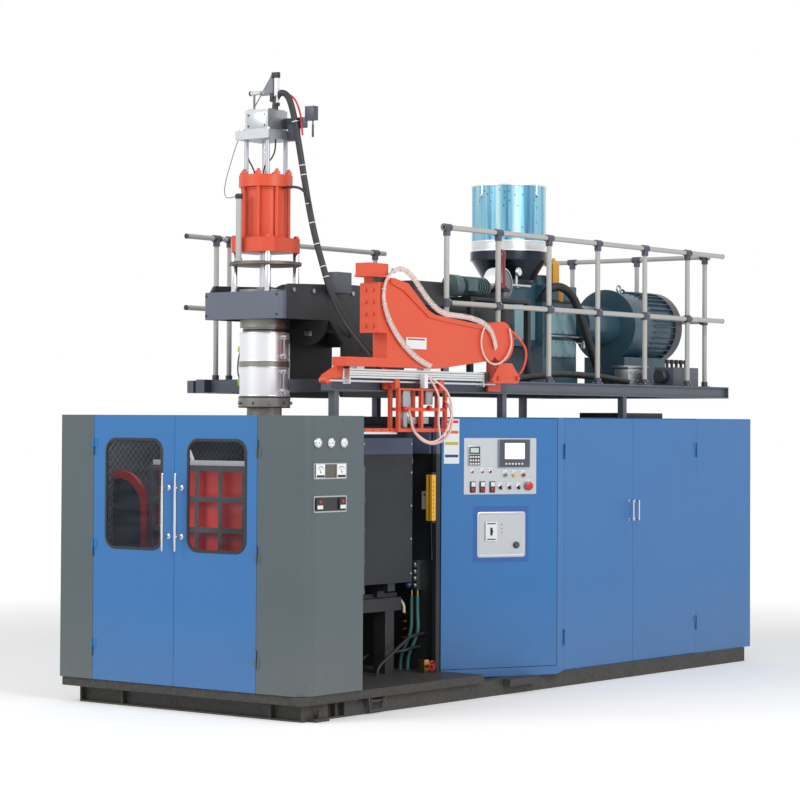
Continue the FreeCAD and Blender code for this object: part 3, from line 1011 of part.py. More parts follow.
corners = []
for side_x, side_y in ((1, 1), (-1, 1), (-1, -1), (1, -1)):
    along = (f"{side_x} * (shot_half - shot_corner)", back(f"head_axis + {side_y} * shot_half"))
    across = (f"{side_x} * shot_half", back(f"head_axis + {side_y} * (shot_half - shot_corner)"))
    corners += [across, along] if side_x * side_y > 0 else [along, across]
shot_parts = [
    prism("shot_flange", "XY_Plane", corners, "shot_flange_top - column_top", "column_top"),
    rod("shot_barrel", "shot_barrel", "shot_barrel_top - shot_flange_top", (*head_at, "shot_flange_top")),
    rod("shot_cap", "shot_cap", "shot_cap_top - shot_barrel_top", (*head_at, "shot_barrel_top"))]
for i in range(8):
    turn = f"(shot_first_turn + {i} * 360 / shot_bolts)"
    at = (f"shot_bolt_circle * cos({turn})", back(f"head_axis + shot_bolt_circle * sin({turn})"))
    shot_parts.append(rod(f"shot_bolt{i}", "shot_bolt", "shot_barrel_top - shot_flange_top", (*at, "shot_flange_top")))
    shot_parts.append(hexagon(f"shot_nut{i}", "shot_nut", "shot_nut_height", (*at, "shot_cap_top")))
shot_bores = [
    rod("shot_gland", "shotram_rod + shotram_fit", "shot_flange_top - column_top", (*head_at, "column_top")),
    rod("shot_bore", "shotram_bore", "shot_barrel_top - shot_flange_top", (*head_at, "shot_flange_top")),
    rod("shot_gap_hole", "shot_gap_hole", "shot_cap_top - shot_barrel_top", (*head_at, "shot_barrel_top"))]
node(cut("shot_cylinder", fused("shot_steel", shot_parts), shot_bores), "shot_cylinder")
node(fused("shot_ram", [
    rod("shotram_rod", "shotram_rod", "shotram_piston_low - shotram_low", (*head_at, "shotram_low")),
    rod("shotram_piston", "shotram_bore - shotram_fit", "shotram_piston", (*head_at, "shotram_piston_low"))]), "shot_ram")
head_square = ("-actuator_plate_half", "actuator_plate_half")
actuator_steel = fused("actuator_steel", [
    *posts,
    block("actuator_plate", head_square, between(head_at[1], "2 * actuator_plate_half"),
          ("actuator_post_top", "actuator_plate_top")),
    block("actuator_block", ("-actuator_half", "actuator_half"), between(head_at[1], "2 * actuator_half"),
          ("actuator_plate_top", "actuator_top"))])
node(cut("actuator_frame", actuator_steel, [
    rod("actuator_bore", "shot_gap_hole", "actuator_bore_top - actuator_post_top", (*head_at, "actuator_post_top"))]),
    "actuator_frame")
node(group("gap_rod", [rod("gap_bar", "gaprod_radius", "gaprod_top - gaprod_low", (*head_at, "gaprod_low"))]), "gap_rod")
sizes("transducer", pole_x=-60, pole=9, bar_top=4180, bar_low=4155, bar_left=-95, bar_right=40, bar_half=12,
      plate_left=0, plate_right=14, plate_top=4315, body_x=38, body=14, body_low=4110, body_top=4320,
      arm_low=4285, arm_top=4303)
bar_y = between(head_at[1], "2 * transducer_bar_half")
node(fused("transducer_bracket", [
    rod("transducer_pole", "transducer_pole", "transducer_bar_top - actuator_top",
        ("transducer_pole_x", head_at[1], "actuator_top")),
    block("transducer_bar", ("transducer_bar_left", "transducer_bar_right"), bar_y,
          ("transducer_bar_low", "transducer_bar_top")),
    block("transducer_plate", ("transducer_plate_left", "transducer_plate_right"), bar_y,
          ("transducer_bar_top", "transducer_plate_top")),
    block("transducer_arm", ("transducer_plate_right", "transducer_body_x"), bar_y,
          ("transducer_arm_low", "transducer_arm_top")),
    rod("transducer_body", "transducer_body", "transducer_body_top - transducer_body_low",
        ("transducer_body_x", head_at[1], "transducer_body_low"))]), "transducer_bracket")

# Take-out arm: an orange casting bolted to the near channel, with a rail under it for the carriage.
sizes("arm", near=900, far=1020, tip=490, low=2275, lip_top=2335, step=920, step_top=2500, flange=820,
      column_top=2870, cap_front=730, cap_back=930, cap_top=2960, crest=1140, crest_height=2840, dip=1360,
      dip_height=2670, ridge=1440, ridge_height=2640, tail=2005, tail_height=2590, end=2248, end_height=2479,
      end_radius=141, under=2130, under_height=2345, flat=1500, plate=20, plate_near=884, plate_far=1036,
      plate_low=2500, plate_top=2830, bolt_rows=4, bolt_inset=45, bolt_pitch=80, bolt=14, bolt_head=12,
      bracket_low=2130, bracket_top=2420, bracket_front=1050, bracket_back=2250, bracket_width=150)
arm_outline = [(back(f"arm_{y}"), f"arm_{z}") for y, z in (
    ("tip", "low"), ("flat", "low"), ("under", "under_height"), ("end", "end_height"),
    ("end", "end_height + arm_end_radius"), ("tail", "tail_height"), ("ridge", "ridge_height"),
    ("dip", "dip_height"), ("crest", "crest_height"), ("cap_back", "column_top"), ("cap_back", "cap_top"),
    ("cap_front", "cap_top"), ("cap_front", "column_top"), ("flange", "column_top"), ("flange", "step_top"),
    ("step", "step_top"), ("step", "lip_top"), ("tip", "lip_top"))]
arm_parts = [
    prism("arm_casting", "YZ_Plane", arm_outline, "arm_far - arm_near", "arm_near"),
    rod("arm_round_end", "arm_end_radius", "arm_far - arm_near", ("arm_near", back("arm_end"), "arm_end_height"), ALONG_X),
    block("arm_flange", ("arm_plate_near", "arm_plate_far"), (back("arm_flange - arm_plate"), back("arm_flange")),
          ("arm_plate_low", "arm_plate_top"))]
for place in ("front", "back"):
    start = back(f"arm_bracket_{place}")
    arm_parts.append(block(f"arm_bracket_{place}", ("platform_outer", "arm_near"),
                           (start, f"{start} + arm_bracket_width"), ("arm_bracket_low", "arm_bracket_top")))
for side, x in (("near", "arm_plate_near + arm_bolt_inset"), ("far", "arm_plate_far - arm_bolt_inset")):
    for i in range(4):
        z = f"(arm_plate_low + arm_plate_top) / 2 + ({i} - (arm_bolt_rows - 1) / 2) * arm_bolt_pitch"
        arm_parts.append(hexagon(f"arm_bolt_{side}{i}", "arm_bolt", "arm_bolt_head",
                                 (x, back("arm_flange - arm_plate - arm_bolt_head"), z), ALONG_Y))
node(fused("arm_housing", arm_parts), "arm_housing")

sizes("guide", middle=950, half=30, front=573, back=2090, low=2200, top=2260, end=12, end_low=2160,
      rod=10, rod_height=2180, rod_front=345, rod_back=2250, block_first=650, block_second=1380, block_length=80)
sizes("cage", front=1080, back=1630, low=1845, top=2125, plate=12, bar=24, half=46, bush_half=18,
      bush_length=50, fit=0.05, reach=710, middle_low=1985, centre=1345)
guide_x = between("guide_middle", "2 * guide_half")
guide_parts = [block("guide_profile", guide_x, (back("guide_front"), back("guide_back")), ("guide_low", "guide_top")),
               rod("guide_rod", "guide_rod", "guide_rod_back - guide_rod_front",
                   ("guide_middle", back("guide_rod_front"), "guide_rod_height"), ALONG_Y)]
for place in ("front", "back"):
    start = back("guide_front") if place == "front" else back("guide_back - guide_end")
    guide_parts.append(block(f"guide_end_{place}", guide_x, (start, f"{start} + guide_end"), ("guide_end_low", "guide_low")))
for place in ("first", "second"):
    start = back(f"guide_block_{place}")
    guide_parts.append(block(f"guide_block_{place}", guide_x, (start, f"{start} + guide_block_length"),
                             ("guide_top", "arm_low")))
node(fused("arm_rail", guide_parts), "arm_rail")

cage_x = between("guide_middle", "2 * cage_half")
cage_y = (back("cage_front"), back("cage_back"))
cage_parts = [block("cage_plate", cage_x, cage_y, ("cage_top", "cage_top + cage_plate"))]
sides = ((cage_x[0], f"{cage_x[0]} + cage_bar"), (f"{cage_x[1]} - cage_bar", cage_x[1]))
ends = ((cage_y[0], f"{cage_y[0]} + cage_bar"), between(back("cage_centre"), "cage_bar"),
        (f"{cage_y[1]} - cage_bar", cage_y[1]))
for i, side_x in enumerate(sides):
    for j, end_y in enumerate(ends):
        cage_parts.append(block(f"cage_upright{i}{j}", side_x, end_y, ("cage_low", "cage_top")))
    for name in ("low", "middle_low"):
        cage_parts.append(block(f"cage_side{i}_{name}", side_x, cage_y, (f"cage_{name}", f"cage_{name} + cage_bar")))
for j, end_y in enumerate(ends):
    cage_parts.append(block(f"cage_end{j}", cage_x, end_y, ("cage_low", "cage_low + cage_bar")))
cage_parts.append(block("cage_reach", between("guide_middle", "cage_bar"), (back("cage_reach"), cage_y[0]),
                        ("cage_low", "cage_low + cage_bar")))
for place, start in (("front", cage_y[0]), ("back", f"{cage_y[1]} - cage_bush_length")):
    cage_parts.append(block(f"cage_bush_{place}", between("guide_middle", "2 * cage_bush_half"),
                            (start, f"{start} + cage_bush_length"),
                            ("cage_top + cage_plate", "guide_rod_height + cage_bush_half")))
cage_steel = cut("cage_steel", fused("cage_bars", cage_parts), [
    rod("cage_bore", "guide_rod + cage_fit", "cage_back - cage_front",
        ("guide_middle", cage_y[0], "guide_rod_height"), ALONG_Y)])
sizes("hose", bundle=22, arm=11, cage=9, green=13, black=11, turn_share=0.45)


# Hoses: straight runs joined by round bends. Each route is chosen by hand as offsets from its two ends.
def value(alias):
    return float(sheet.get(alias))


def station(x, depth, z):
    return Vector(x, value("guard_front") + depth, z)


def hose(name, radius, start, first_offsets, end, last_offsets):
    route = [start + Vector(*offset) for offset in first_offsets] + [end + Vector(*offset) for offset in last_offsets]
    edges = []
    corner_start = route[0]
    radii = []
    for before, corner, after in zip(route, route[1:], route[2:]):
        toward, away = (before - corner), (after - corner)
        shorter = min(toward.Length, away.Length)
        toward.normalize()
        away.normalize()
        half_turn = (math.pi - toward.getAngle(away)) / 2
        reach = shorter * value("hose_turn_share")
        radii.append(reach / math.tan(half_turn))
        bend_start, bend_end = corner + toward * reach, corner + away * reach
        inward = (toward + away).normalize()
        centre = corner + inward * (radii[-1] / math.cos(half_turn))
        bend_middle = centre - inward * radii[-1]
        edges.append(Part.LineSegment(corner_start, bend_start).toShape())
        edges.append(Part.Arc(bend_start, bend_middle, bend_end).toShape())
        corner_start = bend_end
    edges.append(Part.LineSegment(corner_start, route[-1]).toShape())
    path = Part.Wire(edges)
    profile = Part.Wire([Part.Circle(route[0], route[1] - route[0], radius).toShape()])
    shape = doc.addObject("Part::Feature", name)
    shape.Shape = path.makePipeShell([profile], True, False)
    expected = math.pi * radius ** 2 * path.Length
    print(name, "least radius", round(min(radii)), "length", round(path.Length),
          "volume against section", round(shape.Shape.Volume / expected, 4))
    return shape


sheet.recompute()
actuator_side = station(value("actuator_half") - value("hose_bundle") - 2, value("head_axis"), value("actuator_top"))
beam_top = station(value("platform_outer") - value("platform_width") / 2, 1040, value("platform_top"))
hoses = [hose("head_bundle", value("hose_bundle"), actuator_side,
              [(0, 0, 0), (0, 0, 70), (34, 14, 128), (90, 32, 104), (124, 50, -20), (158, 70, -245),
               (195, 78, -455), (240, 80, -670), (296, 80, -880)],
              beam_top, [(-400, -80, 750), (-345, -70, 580), (-250, -50, 400), (-130, -25, 250), (0, 0, 110), (0, 0, 0)])]
arm_face = station(value("arm_far") + value("hose_arm") + 3, value("arm_end"), value("arm_end_height"))
hoses.append(hose("arm_bundle", value("hose_arm"), arm_face,
                  [(-3, -860, -190), (0, -960, -165), (0, -1070, -115), (0, -1200, -30), (0, -1330, 100), (0, -1400, 250),
                   (0, -1370, 375), (0, -1270, 450), (0, -1160, 455), (0, -1060, 400), (0, -960, 310), (0, -850, 225),
                   (0, -720, 170), (0, -560, 163)],
                  arm_face, [(0, -400, 155), (0, -250, 125), (0, -130, 55), (0, -100, -50)]))
manifold_outlets = [station((value("manifold_left") + value("manifold_right")) / 2 + side * value("manifold_column") / 2,
                            value("guard_left_depth") - value("bay_plate") - value("manifold_depth")
                            + value("manifold_outlet_depth"),
                            value("manifold_low") - value("manifold_outlet_length")) for side in (-1, 1)]
deck = value("pan_top")
for i, (outlet, sway) in enumerate(zip(manifold_outlets, (0, 12))):
    floor_point = Vector(outlet.x - 75 + sway, outlet.y - 30, deck)
    hoses.append(hose(f"green_hose{i}", value("hose_green"), outlet,
                      [(0, 0, 0), (0, 0, -120), (8 + sway, -12, -250)],
                      floor_point, [(40, 0, 165), (0, 0, 85), (0, 0, 0)]))
for i, lift in enumerate((0, 95)):
    wall_point = station(value("bay_side_x") - 90 + 40 * i, value("guard_left_depth") - value("bay_plate"), 330 + lift)
    pan_point = station(value("bay_side_x") - 280 + 250 * i, 1500 - 90 * i, deck)
    hoses.append(hose(f"black_hose{i}", value("hose_black"), wall_point,
                      [(0, 0, 0), (0, -90, 0), (-10, -190, -25)],
                      pan_point, [(0, 150, 130), (0, 50, 85), (0, 0, 40), (0, 0, 0)]))
node(group("service_hoses", hoses), "service_hoses")
cage_face = station(value("guide_middle") + value("cage_half"), value("cage_centre"), value("cage_low"))
cage_loop = hose("cage_loop", value("hose_cage"), cage_face,
                 [(0, 250, 210), (30, 262, 190), (34, 300, 110), (32, 285, 10), (30, 210, -55), (28, 90, -85),
                  (26, -40, -60), (24, -140, 15), (24, -170, 120)],
                 cage_face, [(0, -160, 150)])
node(group("takeout_carriage", [cage_steel, cage_loop]), "takeout_carriage")

# Extruder: gearbox, feed block with its hopper, and the barrel with the screw in it.
sizes("extruder", feed_half=150, feed_front=3630, feed_back=3930, feed_low=2500, feed_top=2990, feed_hole=55,
      screw=45, screw_tip=35, screw_gap=20)
sizes("gearbox", left=-280, right=220, front=3930, back=4400, low=2300, top=2850, cover_top=2980, dome=150,
      dome_small=110, dome_top=3070, dome_station=4180, plate=14, plate_front=3980, plate_back=4370,
      plate_low=2420, plate_top=2560, lid_low=2600, lid_top=2780, pillar=32, pillar_x=150, pillar_station=4180,
      pillar_top=3130, feet_low=2207)
sizes("motor", x=200, axis=2690, radius=270, front=4840, middle=5150, back=5460, coupling=150, fin_radius=292,
      fin=5, fins=36, foot_half=190, foot=20, ring=20, ring_radius=292, ring_width=18, cowl_back=5568, cowl=292,
      cowl_radius=60, eye=26, eye_hole=14, eye_station=5100, vent=12)
sizes("hopper", axis=3780, radius=287, wall=4, body_low=3230, top=3740, band=297, band_low=3160,
      throat=198, foot=3000, foot_top=3012, shoulder=3140, hole=55)
sizes("blower", x=450, height=2900, radius=72, front=2400, back=2835, disc=118, disc_left=330, disc_right=440,
      disc_y=3090, disc_height=2945, filter_x=300, filter_y=3245, filter=82, filter_low=2826, filter_top=3205,
      stand_left=250, stand_right=520, stand_front=2560, stand_back=3330, stand_low=2800, leg=40)
feed_y = (back("extruder_feed_front"), back("extruder_feed_back"))
barrel_start = ("0", back("barrel_front"), "carrier_axis")
barrel_length = "extruder_feed_back - barrel_front"
barrel_steel = fused("barrel_steel", [
    rod("barrel_cover", "barrel_cover", "extruder_feed_front - barrel_front", barrel_start, ALONG_Y),
    block("barrel_blower", ("barrel_blower_left", "barrel_blower_right"),
          (back("barrel_blower_front"), back("barrel_blower_back")), ("barrel_blower_low", "barrel_blower_top")),
    block("feed_block", between("0", "2 * extruder_feed_half"), feed_y, ("extruder_feed_low", "extruder_feed_top"))])
node(cut("extruder_barrel", barrel_steel, [
    rod("barrel_bore", "barrel_bore", barrel_length, barrel_start, ALONG_Y),
    rod("feed_hole", "extruder_feed_hole", "extruder_feed_top - carrier_axis",
        ("0", back("hopper_axis"), "carrier_axis"))]), "extruder_barrel")
screw_start = back("barrel_front + extruder_screw_gap + extruder_screw_tip")
node(fused("extruder_screw", [
    rod("screw_core", "extruder_screw", f"{feed_y[1]} - ({screw_start})", ("0", screw_start, "carrier_axis"), ALONG_Y),
    cone("screw_tip", "1", "extruder_screw", "extruder_screw_tip",
         ("0", back("barrel_front + extruder_screw_gap"), "carrier_axis"), ALONG_Y)]), "extruder_screw")

gear_x = ("gearbox_left", "gearbox_right")
gear_y = (back("gearbox_front"), back("gearbox_back"))
gear_right = ("gearbox_right", "gearbox_right + gearbox_plate")
gear_plate_y = (back("gearbox_plate_front"), back("gearbox_plate_back"))
dome_at = ("(gearbox_left + gearbox_right) / 2", back("gearbox_dome_station"), "gearbox_cover_top")
gear_parts = [
    block("gearbox_case", gear_x, gear_y, ("gearbox_low", "gearbox_cover_top")),
    block("gearbox_feet", grown(gear_x, "gearbox_plate"), gear_y, ("platform_top", "gearbox_low")),
    block("gearbox_door", gear_right, gear_plate_y, ("gearbox_plate_low", "gearbox_plate_top")),
    block("gearbox_lid", gear_right, gear_plate_y, ("gearbox_lid_low", "gearbox_lid_top")),
    cone("gearbox_dome", "gearbox_dome", "gearbox_dome_small", "gearbox_dome_top - gearbox_cover_top", dome_at),
    rod("gearbox_pillar", "gearbox_pillar", "gearbox_pillar_top - gearbox_cover_top",
        ("gearbox_pillar_x", back("gearbox_pillar_station"), "gearbox_cover_top")),
    rod("coupling_cover", "motor_coupling", "motor_front - gearbox_back", ("motor_x", gear_y[1], "motor_axis"), ALONG_Y)]
node(fused("extruder_gearbox", gear_parts), "extruder_gearbox")

motor_at = ("motor_x", back("motor_front"), "motor_axis")
motor_parts = [
    rod("motor_body", "motor_radius", "motor_back - motor_front", motor_at, ALONG_Y),
    rod("motor_ring", "motor_ring_radius", "motor_ring", motor_at, ALONG_Y),
    block("motor_foot", between("motor_x", "2 * motor_foot_half"), (back("motor_front"), back("motor_back")),
          ("platform_top", "motor_axis - motor_radius + motor_foot"))]
fin_base = ("motor_x", back("motor_middle"), "motor_axis")
fins = []
for i in range(36):
    fin = doc.addObject("Part::Box", f"motor_fin{i}")
    bind(fin, Length="motor_fin_radius", Width="motor_back - motor_middle", Height="motor_fin")
    fins.append(put(fin, fin_base, Rotation(Vector(0, 1, 0), 10 * i)))
eye_at = ("motor_x", back("motor_eye_station - motor_ring_width / 2"), "motor_axis + motor_radius + motor_eye / 2")
motor_parts.append(cut("motor_eye", rod("motor_eye_ring", "motor_eye", "motor_ring_width", eye_at, ALONG_Y), [
    rod("motor_eye_hole", "motor_eye_hole", "motor_ring_width", eye_at, ALONG_Y)]))
node(fused("main_motor", [fused("motor_casting", motor_parts), fused("motor_fins", fins)]), "main_motor")
cowl_at = ("motor_x", back("motor_back"), "motor_axis")
node(fused("motor_cowl", [
    rod("cowl_drum", "motor_cowl", "motor_cowl_back - motor_back - motor_vent", cowl_at, ALONG_Y),
    cone("cowl_rim", "motor_cowl", "motor_cowl - motor_vent", "motor_vent",
         ("motor_x", back("motor_cowl_back - motor_vent"), "motor_axis"), ALONG_Y)]), "motor_cowl")

hopper_xy = ("0", back("hopper_axis"))
hopper_outer = fused("hopper_outer", [
    rod("hopper_body", "hopper_radius", "hopper_top - hopper_body_low", (*hopper_xy, "hopper_body_low")),
    rod("hopper_band", "hopper_band", "hopper_body_low - hopper_band_low", (*hopper_xy, "hopper_band_low")),
    cone("hopper_cone", "hopper_throat", "hopper_radius", "hopper_band_low - hopper_foot_top", (*hopper_xy, "hopper_foot_top")),
    rod("hopper_foot", "hopper_throat", "hopper_foot_top - extruder_feed_top", (*hopper_xy, "extruder_feed_top"))])
node(cut("hopper", hopper_outer, [
    rod("hopper_inside", "hopper_radius - hopper_wall", "hopper_top - hopper_wall - hopper_band_low",
        (*hopper_xy, "hopper_band_low")),
    cone("hopper_cone_inside", "hopper_hole", "hopper_radius - hopper_wall", "hopper_band_low - hopper_foot_top",
         (*hopper_xy, "hopper_foot_top")),
    rod("hopper_outlet", "hopper_hole", "hopper_foot_top - extruder_feed_top", (*hopper_xy, "extruder_feed_top"))]),
    "hopper")

stand_x = ("blower_stand_left", "blower_stand_right")
stand_y = (back("blower_stand_front"), back("blower_stand_back"))
blower_parts = [
    block("blower_stand", stand_x, stand_y, ("blower_stand_low", "blower_filter_low")),
    rod("blower_motor", "blower_radius", "blower_back - blower_front", ("blower_x", back("blower_front"), "blower_height"), ALONG_Y),
    rod("blower_disc", "blower_disc", "blower_disc_right - blower_disc_left",
        ("blower_disc_left", back("blower_disc_y"), "blower_disc_height"), ALONG_X),
    block("blower_neck", ("blower_disc_left", "blower_disc_right"), (back("blower_back"), back("blower_disc_y")),
          ("blower_filter_low", "blower_height")),
    rod("blower_filter", "blower_filter", "blower_filter_top - blower_filter_low",
        ("blower_filter_x", back("blower_filter_y"), "blower_filter_low"))]
for leg_x in ((stand_x[0], f"{stand_x[0]} + blower_leg"), (f"{stand_x[1]} - blower_leg", stand_x[1])):
    for leg_y in ((stand_y[0], f"{stand_y[0]} + blower_leg"), (f"{stand_y[1]} - blower_leg", stand_y[1])):
        blower_parts.append(block(f"blower_leg{len(blower_parts)}", leg_x, leg_y, ("platform_top", "blower_stand_low")))
node(fused("loader_blower", blower_parts), "loader_blower")

# Every object must have computed, and every piece must be a valid shape, before anything is written.
doc.recompute()
failed = [item.Label for item in doc.Objects if {"Invalid", "Error"} & set(item.State)]
for piece in nodes:
    if piece.Shape.isNull() or not piece.Shape.isValid():
        failed.append(piece.Label)
if failed:
    raise RuntimeError(f"not built: {sorted(set(failed))}")
os.makedirs("parts", exist_ok=True)
for piece in nodes:
    piece.Shape.exportStep(f"parts/{piece.Label}.step")
    print(piece.Label, len(piece.Shape.Solids), "solids", round(piece.Shape.Volume), "mm3")
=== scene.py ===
import math

import bmesh
import bpy
from mathutils import Matrix, Vector


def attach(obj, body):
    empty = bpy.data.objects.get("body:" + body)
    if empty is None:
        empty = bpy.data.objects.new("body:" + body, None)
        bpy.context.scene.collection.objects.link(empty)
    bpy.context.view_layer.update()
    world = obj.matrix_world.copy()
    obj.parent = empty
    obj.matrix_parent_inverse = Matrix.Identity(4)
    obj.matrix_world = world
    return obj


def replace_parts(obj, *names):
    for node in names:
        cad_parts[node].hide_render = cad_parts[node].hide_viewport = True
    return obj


# Blow moulding machine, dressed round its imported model. Metres, Z up, X to the operator's side,
# Y from the guard doors to the rear cabinets. Stations are measured back from the guard's front face.
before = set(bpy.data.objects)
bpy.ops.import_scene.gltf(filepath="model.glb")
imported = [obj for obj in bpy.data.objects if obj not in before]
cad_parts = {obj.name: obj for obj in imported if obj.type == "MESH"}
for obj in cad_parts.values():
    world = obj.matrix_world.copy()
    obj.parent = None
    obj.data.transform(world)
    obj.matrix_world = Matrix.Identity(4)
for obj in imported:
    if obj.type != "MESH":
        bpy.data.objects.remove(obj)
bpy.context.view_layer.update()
GUARD_FRONT = -2.9
UP, OUT, FRONT = (0, 0, 1), (1, 0, 0), (0, -1, 0)


def back(depth):
    return GUARD_FRONT + depth


def put(name, data):
    """A new object in the scene."""
    holder = bpy.data.objects.new(name, data)
    bpy.context.scene.collection.objects.link(holder)
    return holder


# Viewpoint: a long lens at eye height, off the front right corner of the machine, shifted a little so
# that the machine fills the picture as it does in the photo.
EYE = (11.399, -15.439, 1.913)
TILT, ROLL, HEADING = (math.radians(turn) for turn in (91.463, 0.309, 37.696))
camera_data = bpy.data.cameras.new("viewpoint")
camera_data.lens, camera_data.sensor_width = 115.5, 36
camera_data.shift_x, camera_data.shift_y = 0.0195, -0.0548
camera_data.clip_end = 100
camera = put("viewpoint", camera_data)
camera.matrix_world = (Matrix.Translation(EYE) @ Matrix.Rotation(HEADING, 4, "Z")
                       @ Matrix.Rotation(TILT, 4, "X") @ Matrix.Rotation(ROLL, 4, "Z"))
bpy.context.scene.camera = camera
bpy.context.scene.view_settings.view_transform = "Standard"


# Studio: a pale seamless floor under an even sky, with one broad lamp over the viewer's left
# shoulder and a stronger one on the right, so that every panel keeps its own colour.
def colour(red, green, blue):
    """A colour of a picture, 0 to 255 each, as the renderer's linear light."""
    def linear(value):
        value /= 255
        return value / 12.92 if value <= 0.04045 else ((value + 0.055) / 1.055) ** 2.4
    return (linear(red), linear(green), linear(blue), 1.0)


def fill(node, **inputs):
    """Sets or links a node's inputs by name, or by number after an underscore."""
    for name, value in inputs.items():
        socket = node.inputs[int(name[1:])] if name[0] == "_" else node.inputs[name.replace("_", " ")]
        if isinstance(value, bpy.types.NodeSocket):
            node.id_data.links.new(value, socket)
        else:
            socket.default_value = value


def wired(tree, kind, outcome=0, settings=(), **inputs):
    """Adds a node with its settings and inputs, and gives back one of its outputs."""
    node = tree.nodes.new(kind)
    for name, value in dict(settings).items():
        setattr(node, name, value)
    fill(node, **inputs)
    return node.outputs[outcome]


def sums(operation, *values):
    """One step of arithmetic, on a socket and what goes with it."""
    return wired(values[0].id_data, "ShaderNodeMath", settings={"operation": operation},
                 **{f"_{i}": value for i, value in enumerate(values)})


def ranged(value, low, high, **more):
    """A value from 0 to 1 spread over another range."""
    return wired(value.id_data, "ShaderNodeMapRange", Value=value, To_Min=low, To_Max=high, **more)


def mixed(share, low, high):
    """A blend of two colours."""
    return wired(share.id_data, "ShaderNodeMix", outcome=2, settings={"data_type": "RGBA"}, _0=share, _6=low,
                 _7=high)


def new_finish(name):
    """A fresh material, with its surface node and the places on the piece."""
    finish = bpy.data.materials.new(name)
    finish.use_nodes = True
    tree = finish.node_tree
    return finish, tree.nodes["Principled BSDF"], wired(tree, "ShaderNodeTexCoord", outcome=3)


SKY_LEVEL = 0.46
sky = bpy.data.worlds.new("sky")
sky.use_nodes = True
bpy.context.scene.world = sky
path = sky.node_tree.nodes.new("ShaderNodeLightPath").outputs
seen = sums("MAXIMUM", sums("MAXIMUM", path["Is Camera Ray"], path["Is Glossy Ray"]),
            path["Is Transmission Ray"])
fill(sky.node_tree.nodes["Background"], Color=(1, 1, 1, 1), Strength=ranged(seen, SKY_LEVEL, 1.0))

FLOOR_HALF = 60
floor_mesh = bpy.data.meshes.new("studio_floor")
floor_mesh.from_pydata([(x * FLOOR_HALF, y * FLOOR_HALF, 0) for x, y in ((-1, -1), (1, -1), (1, 1), (-1, 1))],
                       [], [(0, 1, 2, 3)])
floor = put("studio_floor", floor_mesh)
floor_finish, floor_surface, floor_place = new_finish("pale_floor")
away = wired(floor_finish.node_tree, "ShaderNodeVectorMath", outcome=1, settings={"operation": "LENGTH"},
             _0=floor_place)
faded = ranged(away, 0.0, 1.0, From_Min=4.5, From_Max=11.0, settings={"interpolation_type": "SMOOTHSTEP"})
fill(floor_surface, Base_Color=mixed(faded, (0.92, 0.92, 0.92, 1), (0, 0, 0, 1)), Emission_Color=(1, 1, 1, 1),
     Emission_Strength=ranged(faded, 0.22, 1.0), Roughness=0.8, Specular_IOR_Level=0.1)
floor_mesh.materials.append(floor_finish)

for name, place, aim, power in (("lamp_left", (-3.5, -11.0, 8.0), (0, -1, 1.6), 560),
                                ("lamp_right", (12.0, -4.0, 7.5), (0, 0.5, 1.6), 760)):
    light = bpy.data.lights.new(name, "AREA")
    light.size, light.energy = 6.0, power
    lamp = put(name, light)
    lamp.location = place
    lamp.rotation_euler = (Vector(aim) - Vector(place)).to_track_quat("-Z", "Y").to_euler()


def mesh_piece(name, mesh, body, finish):
    """A finished mesh, in place, that moves with one body."""
    piece = put(name, mesh)
    if not mesh.materials:
        mesh.materials.append(finish)
    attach(piece, body)
    return piece


def soft_line(name, route):
    """A smooth open line that follows a route's points as its controls."""
    line = bpy.data.curves.new(name, "CURVE")
    line.dimensions = "3D"
    spline = line.splines.new("NURBS")
    spline.points.add(len(route) - 1)
    for point, place in zip(spline.points, route):
        point.co = (*place, 1)
    spline.order_u = 3
    spline.use_endpoint_u = True
    spline.resolution_u = 12
    return line


def line_points(route):
    """Places along the smooth line of a route, read from the line itself."""
    line = soft_line("measure", route)
    holder = put("measure", line)
    bpy.context.view_layer.update()
    mesh = bpy.data.meshes.new_from_object(holder.evaluated_get(bpy.context.evaluated_depsgraph_get()))
    places = [vertex.co.copy() for vertex in mesh.vertices]
    bpy.data.objects.remove(holder)
    bpy.data.curves.remove(line)
    bpy.data.meshes.remove(mesh)
    return places


def laid(*places):
    """Places given by their side, station and height."""
    return [(x, back(station), z) for x, station, z in places]


def run_length(places):
    return sum((after - before).length for before, after in zip(places, places[1:]))


def hose(name, route, radius, finish, body="machine"):
    """A free hose or cable along a route."""
    line = soft_line(name, route)
    line.bevel_depth = radius
    line.bevel_resolution = 4
    line.use_fill_caps = True
    line.materials.append(finish)
    piece = put(name, line)
    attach(piece, body)
    run_length(line_points(route))
    return piece


def noise(place, scale, detail, roughness=0.5):
    """A cloud over the piece."""
    return wired(place.id_data, "ShaderNodeTexNoise", Vector=place, Scale=scale, Detail=detail,
                 Roughness=roughness)


def bumped(height, strength, distance):
    return wired(height.id_data, "ShaderNodeBump", Height=height, Strength=strength, Distance=distance)


def shaded(tone, share, lift=0.0):
    """A colour made lighter or darker."""
    return tuple(min(1.0, max(0.0, channel * share + lift)) for channel in tone[:3]) + (1,)


def rubber(name, tone, roughness, bloom):
    """Extruded rubber: dark, a little dusty, with fine rings of grain."""
    finish, surface, place = new_finish(name)
    fill(surface, Base_Color=mixed(noise(place, 26.0, 3.0), tone, shaded(tone, 1, bloom)),
         Roughness=roughness, Normal=bumped(noise(place, 420.0, 2.0), 0.35, 0.0006))
    return finish


black_hose_finish = rubber("black_hose", colour(36, 37, 40), 0.5, 0.012)
green_hose_finish = rubber("green_hose", colour(52, 112, 108), 0.42, 0.03)
clear_tube_finish = rubber("milky_tube", colour(228, 192, 180), 0.25, 0.03)

